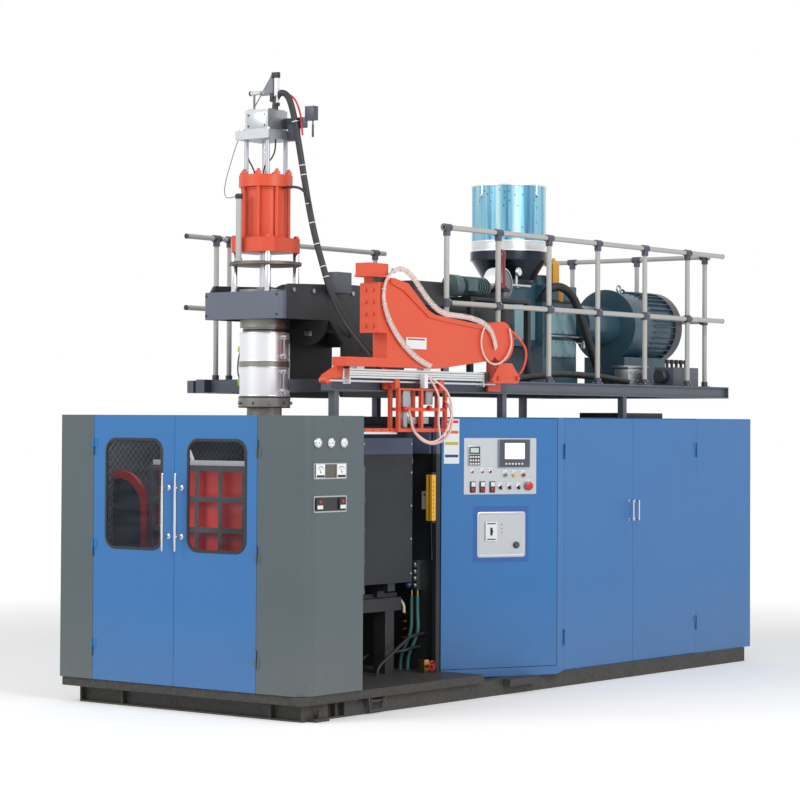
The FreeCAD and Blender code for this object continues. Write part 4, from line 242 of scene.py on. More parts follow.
# Service hoses: plain rubber hoses and clear tube between the head, the arm, the valve manifold and
# the base pan. Each one is held at both ends and hangs in its own curve.
HEAD_BUNDLE = [(0.079, -2.03, 4.04), (0.079, -2.03, 4.11), (0.113, -2.016, 4.168), (0.169, -1.998, 4.144),
               (0.203, -1.98, 4.02), (0.237, -1.96, 3.795), (0.274, -1.952, 3.585), (0.319, -1.95, 3.37),
               (0.375, -1.95, 3.16), (0.44, -1.94, 2.957), (0.495, -1.93, 2.787), (0.59, -1.91, 2.607),
               (0.71, -1.885, 2.457), (0.84, -1.86, 2.317), (0.84, -1.86, 2.207)]
ARM_BUNDLE = [(1.031, -1.512, 2.289), (1.034, -1.612, 2.314), (1.034, -1.722, 2.364), (1.034, -1.852, 2.449),
              (1.034, -1.982, 2.579), (1.034, -2.052, 2.729), (1.034, -2.022, 2.854), (1.034, -1.922, 2.929),
              (1.034, -1.812, 2.934), (1.034, -1.712, 2.879), (1.034, -1.612, 2.789), (1.034, -1.502, 2.704),
              (1.034, -1.372, 2.649), (1.034, -1.212, 2.642), (1.034, -1.052, 2.634), (1.034, -0.902, 2.604),
              (1.034, -0.782, 2.534), (1.034, -0.752, 2.429)]
GREEN_HOSES = [[(0.455, -0.947, 0.69), (0.455, -0.947, 0.57), (0.463, -0.959, 0.44), (0.42, -0.977, 0.331),
                (0.38, -0.977, 0.251), (0.38, -0.977, 0.166)],
               [(0.505, -0.947, 0.69), (0.505, -0.947, 0.57), (0.525, -0.959, 0.44), (0.482, -0.977, 0.331),
                (0.442, -0.977, 0.251), (0.442, -0.977, 0.166)]]
BLACK_HOSES = [[(0.51, -0.922, 0.33), (0.51, -1.012, 0.33), (0.5, -1.112, 0.305), (0.32, -1.25, 0.296),
                (0.32, -1.35, 0.251), (0.32, -1.4, 0.206), (0.32, -1.4, 0.166)],
               [(0.55, -0.922, 0.425), (0.55, -1.012, 0.425), (0.54, -1.112, 0.4), (0.57, -1.34, 0.296),
                (0.57, -1.44, 0.251), (0.57, -1.49, 0.206), (0.57, -1.49, 0.166)]]
head_bundle = hose("head_bundle", HEAD_BUNDLE, 0.022, black_hose_finish)
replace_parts(head_bundle, "service_hoses")
hose("arm_bundle", ARM_BUNDLE, 0.009, clear_tube_finish)
for number, route in enumerate(GREEN_HOSES):
    hose(f"green_hose_{number}", route, 0.013, green_hose_finish)
for number, route in enumerate(BLACK_HOSES):
    hose(f"black_hose_{number}", route, 0.011, black_hose_finish)


# Base frame: a pair of rolled channel rails with welded cross beams, and the raised pan under the
# guard, all brushed with one dark anticorrosion paint that has dulled near the floor.
DUST, DUST_TOP = colour(150, 143, 132), 0.75


def axis_of(place, axis):
    return wired(place.id_data, "ShaderNodeSeparateXYZ", outcome=axis, Vector=place)


def painted(name, paint, gloss=0.4, drift=0.06, peel=0.12, dust=0.0, chip=None, shine=0.5):
    """Sprayed paint on steel: a slow drift of tone, orange peel, dust near the floor and bare edges."""
    finish, surface, place = new_finish(name)
    tint = mixed(noise(place, 1.7, 3.0, 0.6), shaded(paint, 1 - drift),
                 shaded(paint, 1 + drift, 0.15 * drift))
    if dust:
        low = ranged(axis_of(place, 2), 0.0, dust, From_Min=DUST_TOP, From_Max=0.0)
        tint = mixed(sums("MULTIPLY", low, noise(place, 38.0, 5.0)), tint, DUST)
    if chip:
        bare = ranged(noise(place, 46.0, 6.0, 0.72), 0.0, 0.85, From_Min=0.66, From_Max=0.7)
        tint = mixed(bare, tint, chip)
    fill(surface, Base_Color=tint, Normal=bumped(noise(place, 190.0, 1.0), peel, 0.0008),
         Roughness=ranged(noise(place, 5.0, 4.0), gloss - 0.06, gloss + 0.08), Specular_IOR_Level=shine)
    return finish


def dress(finish, *nodes):
    """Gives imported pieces, whose shape is kept, their finish."""
    for node in nodes:
        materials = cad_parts[node].data.materials
        if materials:
            materials[0] = finish
        else:
            materials.append(finish)


base_paint = painted("base_paint", colour(32, 34, 37), gloss=0.55, dust=0.3, chip=colour(66, 64, 64),
                     shine=0.3)
dress(base_paint, "base_frame", "lifting_shackle")

# Guard frame and panels: welded square tube behind folded sheet doors, blue in front and grey at the
# rounded corners, all stove painted to a satin gloss.
panel_blue = painted("panel_blue", colour(41, 109, 171), gloss=0.36, drift=0.035, peel=0.05, dust=0.25)
guard_grey = painted("guard_grey", colour(77, 89, 94), gloss=0.38, drift=0.04, peel=0.05, dust=0.3)
charcoal = painted("charcoal_paint", colour(46, 48, 54), gloss=0.5, dust=0.2, shine=0.35)
dress(guard_grey, "left_corner_panel", "right_corner_panel")
dress(panel_blue, "guard_door_left", "guard_door_right")


def rounded_rect(left, right, low, top, radius, steps=8):
    """Points and outward directions round a rectangle with round corners, anticlockwise."""
    path = []
    corners = [(right - radius, top - radius, 0), (left + radius, top - radius, 90),
               (left + radius, low + radius, 180), (right - radius, low + radius, 270)]
    for middle_x, middle_z, first in corners:
        for step in range(steps + 1):
            turn = math.radians(first + 90 * step / steps)
            away = Vector((math.cos(turn), math.sin(turn)))
            path.append((Vector((middle_x, middle_z)) + away * radius, away))
    return path


def skin_into(bm, rows, ringed=False):
    """Faces between rows of corners that each close on themselves, and over the first and last row."""
    for row, following in zip(rows, rows[1:] + (rows[:1] if ringed else [])):
        for i in range(max(len(row), len(following))):
            corners = dict.fromkeys((row[i % len(row)], row[(i + 1) % len(row)],
                                     following[(i + 1) % len(following)], following[i % len(following)]))
            if len(corners) > 2:
                bm.faces.new(list(corners))
    for row in (rows[0], rows[-1]):
        if len(row) > 1 and not ringed:
            bm.faces.new(row)


def ring_into(bm, path, profile):
    """A closed ring: a profile of (outwards, depth) pairs carried round a path in the XZ plane."""
    skin_into(bm,
              [[bm.verts.new((place.x + away.x * out, depth, place.y + away.y * out))
                for out, depth in profile] for place, away in path], ringed=True)


def slab_into(bm, path, out, near, far):
    """A plate with the outline of a path, between two depths."""
    skin_into(bm,
              [[bm.verts.new((place.x + away.x * out, depth, place.y + away.y * out)) for place, away in path]
               for depth in (near, far)])


def break_edges(bm, corners, reach):
    """Rounds every edge at the corners."""
    edges = dict.fromkeys(edge for vertex in corners for edge in vertex.link_edges)
    bmesh.ops.bevel(bm, geom=list(edges), offset=reach, segments=2, profile=0.6, affect="EDGES")


def box_into(bm, low, high, bevel=0.0):
    """A box between two corners, with its edges broken."""
    low, high = Vector(low), Vector(high)
    seat = Matrix.Translation((high + low) / 2) @ Matrix.Diagonal((*(high - low), 1))
    made = bmesh.ops.create_cube(bm, size=1.0, matrix=seat)
    if bevel:
        break_edges(bm, made["verts"], bevel)


def block(left, right, front, rear, low, high, bevel=0.0):
    """The step for a box whose front and rear are given as stations."""
    return (box_into, (left, back(front), low), (right, back(rear), high), bevel)


def turned_into(bm, profile, place, axis=UP, sides=40):
    """A turned part: (along, radius) pairs from end to end, or round a ring and back to its first pair."""
    seat = Matrix.Translation(place) @ Vector(axis).to_track_quat("Z", "Y").to_matrix().to_4x4()
    turns = [math.tau * i / sides for i in range(sides)]
    ringed = profile[0] == profile[-1]
    skin_into(bm,
              [[bm.verts.new(seat @ Vector((radius * math.cos(turn), radius * math.sin(turn), along)))
                for turn in (turns if radius else turns[:1])]
               for along, radius in (profile[:-1] if ringed else profile)], ringed)


def tube_into(bm, points, radius, sides=12):
    """A round bar or wire along points, with closed ends."""
    places = [Vector(point) for point in points]
    rows, side = [], None
    for i, place in enumerate(places):
        along = (places[min(i + 1, len(places) - 1)] - places[max(i - 1, 0)]).normalized()
        side = along.orthogonal() if side is None else side - along * side.dot(along)
        side.normalize()
        other = along.cross(side)
        rows.append([bm.verts.new(place + (side * math.cos(turn) + other * math.sin(turn)) * radius)
                     for turn in (math.tau * k / sides for k in range(sides))])
    skin_into(bm, rows)


CREASE = math.radians(38)


def made_piece(name, finish, steps, body="machine", place=None):
    """A piece from its steps on a fresh mesh: each step is a function and what it is given."""
    bm = bmesh.new()
    for step, *given in steps:
        step(bm, *given)
    if place:
        bm.transform(place)
    bmesh.ops.recalc_face_normals(bm, faces=bm.faces)
    mesh = bpy.data.meshes.new(name)
    bm.to_mesh(mesh)
    bm.free()
    mesh.shade_smooth()
    mesh.set_sharp_from_angle(angle=CREASE)
    return mesh_piece(name, mesh, body, finish)


# Guard windows: clear sheets held in black rubber gaskets with round corners. The gasket is an
# extrusion pressed over the edge of the opening, so it stands a little proud inside and out.
def clear_sheet(name, tone, alpha, roughness):
    """Clear plastic sheet, a little hazy with wiping marks."""
    finish, surface, place = new_finish(name)
    drawn = wired(finish.node_tree, "ShaderNodeMapping", Vector=place, Rotation=(0, 0.6, 0), Scale=(1, 1, 6))
    wiped = noise(drawn, 3.5, 5.0)
    fill(surface, Base_Color=tone, Roughness=ranged(wiped, roughness, roughness + 0.08),
         Alpha=ranged(wiped, alpha * 0.7, alpha * 1.6, From_Min=0.35, From_Max=0.75))
    return finish


gasket_finish = rubber("gasket_rubber", colour(24, 25, 28), 0.45, 0.008)
pane_finish = clear_sheet("clear_pane", colour(112, 122, 140), 0.05, 0.05)
DOOR_FACE = back(0)
GASKET_PROFILE = [(-0.008, -0.001), (-0.0065, -0.0045), (0, -0.0052), (0.0095, -0.0044), (0.012, -0.0008),
                  (0.012, 0), (-0.0003, 0), (-0.0003, 0.003), (0.012, 0.003), (0.012, 0.0045),
                  (0.0095, 0.008), (-0.0065, 0.008), (-0.008, 0.006)]
for side, left, right in (("left", -0.647, -0.147), ("right", 0.09, 0.585)):
    opening = rounded_rect(left, right, 1.064, 1.784, 0.08)
    body = f"{side}_guard_door"
    profile = [(out, DOOR_FACE + depth) for out, depth in GASKET_PROFILE]
    gasket = made_piece(f"window_gasket_{side}", gasket_finish, [(ring_into, opening, profile)],
                        body)
    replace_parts(gasket, f"window_{side}")
    pane = made_piece(f"window_pane_{side}", pane_finish, [
        (slab_into, opening, -0.004, DOOR_FACE + 0.0005, DOOR_FACE + 0.0045)], body)
    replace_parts(pane, f"window_{side}")


# Door pulls: stainless bars that swell towards their middle, with a band of spiral flutes, each on
# two ball ended studs through the door.
def bare_metal(name, tone, gloss, stretch=(1, 1, 1), drift=0.12, bump=0.12):
    """Bare metal with a machined or brushed grain that runs along the stretched axis."""
    finish, surface, place = new_finish(name)
    grain = noise(wired(finish.node_tree, "ShaderNodeMapping", Vector=place, Scale=stretch), 90.0, 4.0)
    fill(surface, Base_Color=mixed(noise(place, 7.0, 4.0), shaded(tone, 1 - drift), tone), Metallic=1.0,
         Roughness=ranged(grain, gloss - 0.06, gloss + 0.1), Normal=bumped(grain, bump, 0.0004))
    return finish


BAR_SIDES, BAR_ROWS = 56, 160
BAND_LOW, BAND_HIGH, BAND_RUN = 0.36, 0.6, 0.02
FLUTES, FLUTE_DEPTH, FLUTE_PITCH = 7, 0.13, 0.018
END_RUN, END_NECK = 0.014, 0.55


def fluted_bar(bm, place, length, radius, waist):
    """A bar along Z, thickest above its middle, with spiral flutes in a band and turned in ends."""
    rings = []
    for share in (row / BAR_ROWS for row in range(BAR_ROWS + 1)):
        swell = waist + (radius - waist) * math.sin(math.pi * min(1, max(0, (share - 0.02) / 0.96))) ** 0.6
        swell *= min(1.0, END_NECK + min(share, 1 - share) * length / END_RUN)
        fluted = max(0.0, min(1.0, (share - BAND_LOW) / BAND_RUN, (BAND_HIGH - share) / BAND_RUN))
        ring = []
        for turn in (math.tau * k / BAR_SIDES for k in range(BAR_SIDES)):
            wave = math.cos(FLUTES * (turn + share * length / FLUTE_PITCH))
            reach = swell * (1 - FLUTE_DEPTH * fluted * (0.5 - 0.5 * wave))
            offset = Vector((reach * math.cos(turn), reach * math.sin(turn), share * length))
            ring.append(bm.verts.new(Vector(place) + offset))
        rings.append(ring)
    skin_into(bm, rings)


polished = bare_metal("polished_stainless", colour(214, 216, 220), 0.14, drift=0.04, bump=0.03)
PULL_LOW, PULL_TOP = 1.054, 1.568
PULL_REACH = 0.075
STUD = [(0, 0.017), (0.003, 0.017), (0.006, 0.012), (0.008, 0.0075), (0.04, 0.0075), (0.047, 0.011),
        (0.053, 0.0135), (0.059, 0.0135), (0.066, 0.01), (0.072, 0.006)]
for side, middle in (("left", -0.08), ("right", 0.034)):
    steps = [(fluted_bar, (middle, DOOR_FACE - PULL_REACH + 0.011, PULL_LOW), PULL_TOP - PULL_LOW, 0.011,
              0.0066)]
    for height in (1.151, 1.471):
        steps.append((turned_into, [(along - 0.0005, radius) for along, radius in STUD[:-1]],
                      (middle, DOOR_FACE, height), FRONT, 32))
    pull = made_piece(f"pull_bar_{side}", polished, steps, f"{side}_guard_door")
    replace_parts(pull, f"door_pull_{side}")


# Side instruments: three pressure gauges in chrome bezels, a recessed pair of square meters and a
# recessed pair of timer switches, all let into the rounded grey panel on the operator's side.
def seat_on(place, turn):
    """A frame for a face: x runs along it, y inwards and z up."""
    return Matrix.Translation(place) @ Matrix.Rotation(math.radians(turn), 4, "Z")


def plain(name, tone, roughness, glow=0.0):
    """Moulded plastic, enamel or print: one tone with a faint speckle and handling marks."""
    finish, surface, place = new_finish(name)
    fill(surface, Base_Color=mixed(noise(place, 260.0, 2.0), shaded(tone, 0.97, -0.0006), tone),
         Roughness=ranged(noise(place, 18.0, 3.0), roughness - 0.04, roughness + 0.07))
    if glow:
        fill(surface, Emission_Color=tone, Emission_Strength=glow)
    return finish


chrome_trim = bare_metal("chrome_trim", colour(206, 208, 212), 0.18, drift=0.05, bump=0.02)
dial_white = plain("dial_white", colour(236, 238, 240), 0.4)
ink_black = plain("ink_black", colour(30, 31, 34), 0.45)
black_case = plain("black_case", colour(38, 39, 42), 0.42)
recess_brown = plain("recess_brown", colour(92, 88, 76), 0.5)
brushed_trim = bare_metal("brushed_trim", colour(186, 190, 194), 0.32, stretch=(14, 14, 1), drift=0.08)
signal_red = plain("signal_red", colour(198, 42, 40), 0.3)
key_white = plain("key_white", colour(226, 228, 230), 0.38)

SIDE_FACE = seat_on((1.072, back(0), 0), 90)
GAUGES = (0.133, 0.265, 0.397)
GAUGE_HEIGHT = 1.776
BEZEL = [(-0.001, 0.029), (-0.001, 0.0345), (0.004, 0.0355), (0.01, 0.0335), (0.0145, 0.0305),
         (0.016, 0.0285), (0.0125, 0.027), (0.0125, 0.0)]
DIAL = [(0.01, 0.0265), (0.0132, 0.0265), (0.0132, 0)]
DIAL_REACH, DIAL_FACE = 0.0265, 0.0135


def pointer_into(bm, middle, turn, start, length, width):
    """A thin bar that points out from the middle of a dial."""
    bmesh.ops.create_cube(bm, size=1.0, matrix=Matrix.Translation(middle)
                          @ Matrix.Rotation(math.radians(turn), 4, "Y") @ Matrix.Translation((start, 0, 0))
                          @ Matrix.Diagonal((length, 0.0008, width, 1)))


def gauge_marks(bm, along, height, reach, depth, marks, first=-45, sweep=270):
    """Scale marks round a dial, with every fifth one long."""
    for mark in range(marks):
        inner, width = (0.72, 0.056) if mark % 5 == 0 else (0.82, 0.028)
        pointer_into(bm, (along, -depth, height), first + sweep * mark / (marks - 1),
                     reach * (inner + 0.95) / 2, reach * (0.95 - inner), reach * width)


def needle(bm, along, height, reach, depth, turn):
    """A gauge's needle with its hub."""
    pointer_into(bm, (along, -depth - 0.001, height), turn, reach * 0.3, reach * 0.95, reach * 0.07)
    turned_into(bm, [(0, reach * 0.1), (0.0026, reach * 0.1), (0.003, 0)], (along, -depth, height), FRONT, 16)


def on_side(name, finish, steps):
    return made_piece(name, finish, steps, place=SIDE_FACE)


bezels = on_side("gauge_bezels", chrome_trim, [
    (turned_into, BEZEL, (along, 0, GAUGE_HEIGHT), FRONT, 44) for along in GAUGES])
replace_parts(bezels, "side_instruments")
on_side("gauge_dials", dial_white, [
    (turned_into, DIAL, (along, 0, GAUGE_HEIGHT), FRONT, 40) for along in GAUGES])
on_side("gauge_scales", ink_black, [
    (gauge_marks, along, GAUGE_HEIGHT, DIAL_REACH, DIAL_FACE, 26) for along in GAUGES]
    + [(needle, along, GAUGE_HEIGHT, DIAL_REACH, DIAL_FACE, turn)
       for along, turn in zip(GAUGES, (35, 20, 48))])

METER_HOLE = rounded_rect(0.099, 0.426, 1.549, 1.642, 0.003, 2)
TIMER_HOLE = rounded_rect(0.101, 0.428, 1.336, 1.433, 0.003, 2)
FRAME_PROFILE = [(-0.004, 0.0), (-0.004, -0.003), (0.0, -0.0042), (0.0045, -0.003), (0.0045, 0.0)]
TIMERS = (0.148, 0.381)
on_side("instrument_frames", brushed_trim, [
    (ring_into, METER_HOLE, FRAME_PROFILE), (ring_into, TIMER_HOLE, FRAME_PROFILE)])
on_side("instrument_recesses", black_case, [
    (slab_into, METER_HOLE, -0.003, -0.0012, -0.0002), (slab_into, TIMER_HOLE, -0.003, -0.0014, -0.0002)]
    + [(box_into, (middle - 0.034, -0.012, 1.349), (middle + 0.034, -0.001, 1.419), 0.002)
       for middle in TIMERS])
on_side("meter_backing", recess_brown, [(box_into, (0.205, -0.0024, 1.556), (0.318, -0.001, 1.635))])
meter_steps, mark_steps = [], []
for left in (0.112, 0.325):
    meter_steps.append((box_into, (left, -0.01, 1.551), (left + 0.088, -0.001, 1.64), 0.0025))
    mark_steps.append((gauge_marks, left + 0.044, 1.588, 0.042, 0.0104, 16, -135, 90))
    mark_steps.append((needle, left + 0.044, 1.588, 0.036, 0.0104, -118))
    mark_steps.append((box_into, (left + 0.004, -0.0108, 1.555), (left + 0.084, -0.0099, 1.57)))
on_side("square_meters", dial_white, meter_steps)
on_side("meter_scales", ink_black, mark_steps)
on_side("timer_stops", signal_red, [
    (turned_into, [(0.011, 0.0105), (0.015, 0.0105), (0.017, 0.0085), (0.017, 0)], (middle, 0, 1.401), FRONT,
     28) for middle in TIMERS])
on_side("timer_rockers", key_white, [
    (box_into, (middle - 0.027, -0.016, 1.354), (middle + 0.027, -0.011, 1.378), 0.002) for middle in TIMERS])

# Clamp: cast platens whose rib faces are machined and painted dark grey, with red primer left in
# the pockets between the ribs. A white cross bar with a gusset is bolted along the front one's top.
CASTING_END = 0.612


def paint_of(finish):
    """A finish's surface node, its paint and the places on the piece, to paint over."""
    surface = finish.node_tree.nodes["Principled BSDF"]
    return (surface, surface.inputs["Base Color"].links[0].from_socket,
            wired(finish.node_tree, "ShaderNodeTexCoord", outcome=3))


def casting(name, face, side):
    """Ribbed casting: grey on the faces at one station and on the ends, red in the pockets between."""
    finish = painted(name, colour(232, 60, 38), gloss=0.42, drift=0.1, peel=0.5)
    surface, red, place = paint_of(finish)
    on_face = sums("LESS_THAN" if side < 0 else "GREATER_THAN", axis_of(place, 1), face)
    on_end = sums("GREATER_THAN", sums("ABSOLUTE", axis_of(place, 0)), CASTING_END)
    grey = mixed(noise(place, 30.0, 5.0), colour(66, 72, 76), colour(96, 102, 104))
    fill(surface, Base_Color=mixed(sums("MAXIMUM", on_face, on_end), red, grey))
    return finish


dress(casting("front_casting", back(0.4215), -1), "platen_front")
dress(casting("rear_casting", back(1.1585), 1), "platen_rear")
mould_metal = bare_metal("mould_metal", colour(168, 172, 176), 0.3, stretch=(1, 1, 10), drift=0.1)
dress(mould_metal, "mould_front", "mould_rear")
dress(polished, "tie_bars", "clamp_rod")
white_paint = painted("white_paint", colour(226, 230, 234), gloss=0.35, drift=0.02)
made_piece("platen_bar", white_paint, [
    block(-0.62, 0.62, 0.425, 0.465, 1.6105, 1.645, 0.003),
    block(-0.36, -0.345, 0.43, 0.46, 1.645, 1.8, 0.003),
    (tube_into, [(-0.352, back(0.445), 1.795), (-0.27, back(0.445), 1.645)], 0.013, 8)],
    "front_clamp")


# Guard lining: expanded steel mesh on the frame's left side, and a shield plate with a red edge that
# is bolted to the left wall beside the platen.
def shape_tree(name, **inputs):
    """An empty shape tree with a mesh in, a mesh out and named inputs."""
    tree = bpy.data.node_groups.new(name, "GeometryNodeTree")
    for way in ("INPUT", "OUTPUT"):
        tree.interface.new_socket("Mesh", in_out=way, socket_type="NodeSocketGeometry")
    for word, kind in inputs.items():
        tree.interface.new_socket(word, in_out="INPUT", socket_type=f"NodeSocket{kind}")
    entry, leaving = tree.nodes.new("NodeGroupInput"), tree.nodes.new("NodeGroupOutput")
    return tree, {socket.name: socket for socket in entry.outputs if socket.name}, leaving


def grown_piece(name, tree, places, values, edges=(), facing=None):
    """Runs a shape tree over points and edges, and keeps the outcome as a plain mesh."""
    seeds = bpy.data.meshes.new(name)
    seeds.from_pydata([tuple(place) for place in places], list(edges), [])
    if facing is not None:
        directions = seeds.attributes.new("facing", "FLOAT_VECTOR", "POINT")
        for item, direction in zip(directions.data, facing):
            item.vector = direction
    holder = put(name + "_seeds", seeds)
    grower = holder.modifiers.new("shape", "NODES")
    grower.node_group = tree
    for item in tree.interface.items_tree:
        if item.in_out == "INPUT" and item.name in values:
            grower[item.identifier] = values[item.name]
    mesh = bpy.data.meshes.new_from_object(holder.evaluated_get(bpy.context.evaluated_depsgraph_get()))
    mesh.name = name
    holder.modifiers.remove(grower)
    bpy.data.objects.remove(holder)
    bpy.data.meshes.remove(seeds)
    mesh.set_sharp_from_angle(angle=CREASE)
    return mesh_piece(name, mesh, "machine", values["Finish"])


wire_tree, wire_in, wire_out = shape_tree("round_wires", Radius="Float", Sides="Int", Finish="Material")
wire_paths = wired(wire_tree, "GeometryNodeMeshToCurve", Mesh=wire_in["Mesh"])
wire_round = wired(wire_tree, "GeometryNodeCurvePrimitiveCircle", Resolution=wire_in["Sides"],
                   Radius=wire_in["Radius"])
wire_skin = wired(wire_tree, "GeometryNodeCurveToMesh", Curve=wire_paths, Profile_Curve=wire_round,
                  Fill_Caps=True)
fill(wire_out, _0=wired(wire_tree, "GeometryNodeSetMaterial", Geometry=wire_skin, Material=wire_in["Finish"]))


def diamond_mesh(width, height, pitch):
    """Ends of the strands of a diamond mesh that fills a rectangle."""
    strands = []
    for lean in (1, -1):
        offset = -height if lean > 0 else 0.0
        while offset < (width if lean > 0 else width + height):
            ends = []
            for level in (0.0, height):
                along = offset + lean * level
                clipped = min(max(along, 0.0), width)
                ends.append((clipped, level + lean * (clipped - along)))
            if all(-1e-6 <= level <= height + 1e-6 for _, level in ends) and ends[0] != ends[1]:
                strands.append(ends)
            offset += pitch
    return strands


wire_grey = painted("wire_grey", colour(120, 116, 118), gloss=0.5)
MESH_X = -1.012
strands = diamond_mesh(1.72, 1.6, 0.052)
places, edges = [], []
for (start, low), (end, high) in strands:
    edges.append((len(places), len(places) + 1))
    places += [(MESH_X, back(0.12 + start), 0.24 + low), (MESH_X, back(0.12 + end), 0.24 + high)]
grown_piece("guard_mesh", wire_tree, places, {"Radius": 0.0022, "Sides": 5, "Finish": wire_grey},
            edges)
made_piece("guard_mesh_frame", charcoal, [
    block(MESH_X - 0.008, MESH_X + 0.008, front, rear, low, top, 0.002)
    for front, rear, low, top in ((0.083, 0.13, 0.2, 1.88), (1.82, 1.9, 0.2, 1.88), (0.13, 1.82, 1.82, 1.88),
                                  (0.13, 1.82, 0.2, 0.26))])


def arc_plate(bm, middle, inner, outer, first, last, near, far, steps=24):
    """A flat ring segment in the XZ plane, between two stations."""
    rows = []
    for turn in (math.radians(first + (last - first) * step / steps) for step in range(steps + 1)):
        away = (math.cos(turn), math.sin(turn))
        rows.append([bm.verts.new((middle[0] + away[0] * reach, depth, middle[1] + away[1] * reach))
                     for reach, depth in ((inner, near), (outer, near), (outer, far), (inner, far))])
    skin_into(bm, rows)


SHIELD = (-0.952, 1.305)
shield_red = painted("shield_red", colour(218, 56, 56), gloss=0.4, drift=0.1)
made_piece("shield_edge", shield_red, [
    (arc_plate, SHIELD, 0.205, 0.262, 0, 104, back(0.44), back(0.47)),
    block(SHIELD[0] + 0.205, SHIELD[0] + 0.262, 0.44, 0.47, 0.8, SHIELD[1], 0.002)])
made_piece("shield_plate", charcoal, [
    (arc_plate, SHIELD, 0.002, 0.206, 0, 104, back(0.448), back(0.462)),
    block(-1.016, SHIELD[0] + 0.206, 0.448, 0.462, 0.8, SHIELD[1] + 0.002, 0.001),
    block(-1.016, SHIELD[0], 0.448, 0.462, SHIELD[1], SHIELD[1] + 0.2, 0.001)])


# Control cabinet: a blue sheet steel door with a brushed control plate screwed to it, and the mains
# breaker in a bright frame below. The labels are bare fields of colour.
CONSOLE_FACE = seat_on((0.669, back(2.011), 0), 63.2)
dress(panel_blue, "control_cabinet", "control_door")


def on_door(name, finish, steps, body="control_door"):
    return made_piece(name, finish, steps, body, CONSOLE_FACE)


def plates(proud, *fields, rise=0.0, bevel=0.0):
    """Flat plates on the face, each given by left, right, low and top in metres."""
    return [(box_into, (left, -proud, low), (right, -rise, top), bevel) for left, right, low, top in fields]


def domes(profile, spots, sides=28):
    """Turned parts that stand out of the face at (along, height) spots."""
    return [(turned_into, profile, (along, 0, height), FRONT, sides) for along, height in spots]


plate_metal = bare_metal("panel_aluminium", colour(184, 188, 192), 0.38, stretch=(1, 1, 16), drift=0.06)
label_white = plain("label_white", colour(224, 228, 230), 0.5)
label_blue = plain("label_blue", colour(40, 92, 165), 0.45)
screen_white = plain("screen_white", colour(232, 238, 242), 0.15, glow=0.35)
bezel_grey = plain("bezel_grey", colour(72, 76, 84), 0.4)
rim_blue = bare_metal("rim_blue", colour(150, 168, 190), 0.35)
lamp_red = plain("lamp_red", colour(150, 26, 26), 0.15)
dark_red = plain("dark_red", colour(140, 34, 32), 0.35)
button_green = plain("green_cap", colour(30, 150, 70), 0.3)
button_yellow = plain("yellow_cap", colour(236, 190, 40), 0.3)

on_door("door_field", label_blue, plates(0.0004, (0.25, 0.697, 0.919, 1.318)))
on_door("door_label", label_white, plates(0.0004, (0.018, 0.139, 1.62, 1.935)))
for name, tone, height in (("red", (205, 60, 50), 1.905), ("orange", (214, 92, 52), 1.832),
                           ("olive", (186, 170, 60), 1.752), ("navy", (38, 60, 120), 1.664)):
    on_door(f"label_bar_{name}", plain(f"label_{name}", colour(*tone), 0.5),
            plates(0.0007, (0.026, 0.131, height, height + 0.02)))
plate_outline = rounded_rect(0.176, 0.758, 1.402, 1.801, 0.006, 3)
BREAKER_FIELD = rounded_rect(0.283, 0.671, 0.953, 1.278, 0.02, 3)
panel_sheet = on_door("panel_sheet", plate_metal, [
    (slab_into, plate_outline, 0.0, 0, -0.002), (slab_into, BREAKER_FIELD, -0.014, 0, -0.0028),
    (ring_into, BREAKER_FIELD, [(-0.02, 0), (-0.02, -0.0035), (-0.014, -0.005), (-0.003, -0.005), (0, -0.003),
                                (0, 0)])])
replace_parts(panel_sheet, "control_plate")
on_door("touch_panel", bezel_grey, [
    (slab_into, rounded_rect(0.45, 0.702, 1.59, 1.793, 0.008, 4), 0, -0.001, -0.0125),
    (ring_into, rounded_rect(0.497, 0.659, 1.652, 1.766, 0.004, 3),
     [(0.0, -0.012), (0.0, -0.0132), (0.002, -0.014), (0.008, -0.014), (0.009, -0.012)])])
on_door("touch_rim", rim_blue, [
    (ring_into, rounded_rect(0.448, 0.704, 1.588, 1.795, 0.009, 4),
     [(-0.005, -0.001), (-0.005, -0.0134), (-0.003, -0.014), (0, -0.0125), (0, -0.001)])])
on_door("touch_view", screen_white, plates(0.0128, (0.497, 0.659, 1.652, 1.766), rise=0.011))
on_door("touch_keys", key_white,
        plates(0.0138, *[(0.502 + 0.026 * i, 0.516 + 0.026 * i, 1.612, 1.624) for i in range(6)], rise=0.012,
               bevel=0.0008))
on_door("controller_body", plate_metal, plates(0.0095, (0.208, 0.305, 1.603, 1.745), bevel=0.002))
on_door("controller_front", black_case, plates(0.0112, (0.213, 0.3, 1.688, 1.741), rise=0.009, bevel=0.001)
        + plates(0.0102, (0.213, 0.3, 1.608, 1.683), rise=0.009))
on_door("controller_window", plain("window_pale", colour(196, 214, 206), 0.2),
        plates(0.012, (0.224, 0.289, 1.698, 1.731), rise=0.011))
on_door("controller_keys", key_white,
        plates(0.0118,
               *[(0.219 + 0.0205 * column, 0.233 + 0.0205 * column, 1.613 + 0.0235 * row,
                  1.626 + 0.0235 * row) for column in range(4) for row in range(3)], rise=0.01, bevel=0.0008))

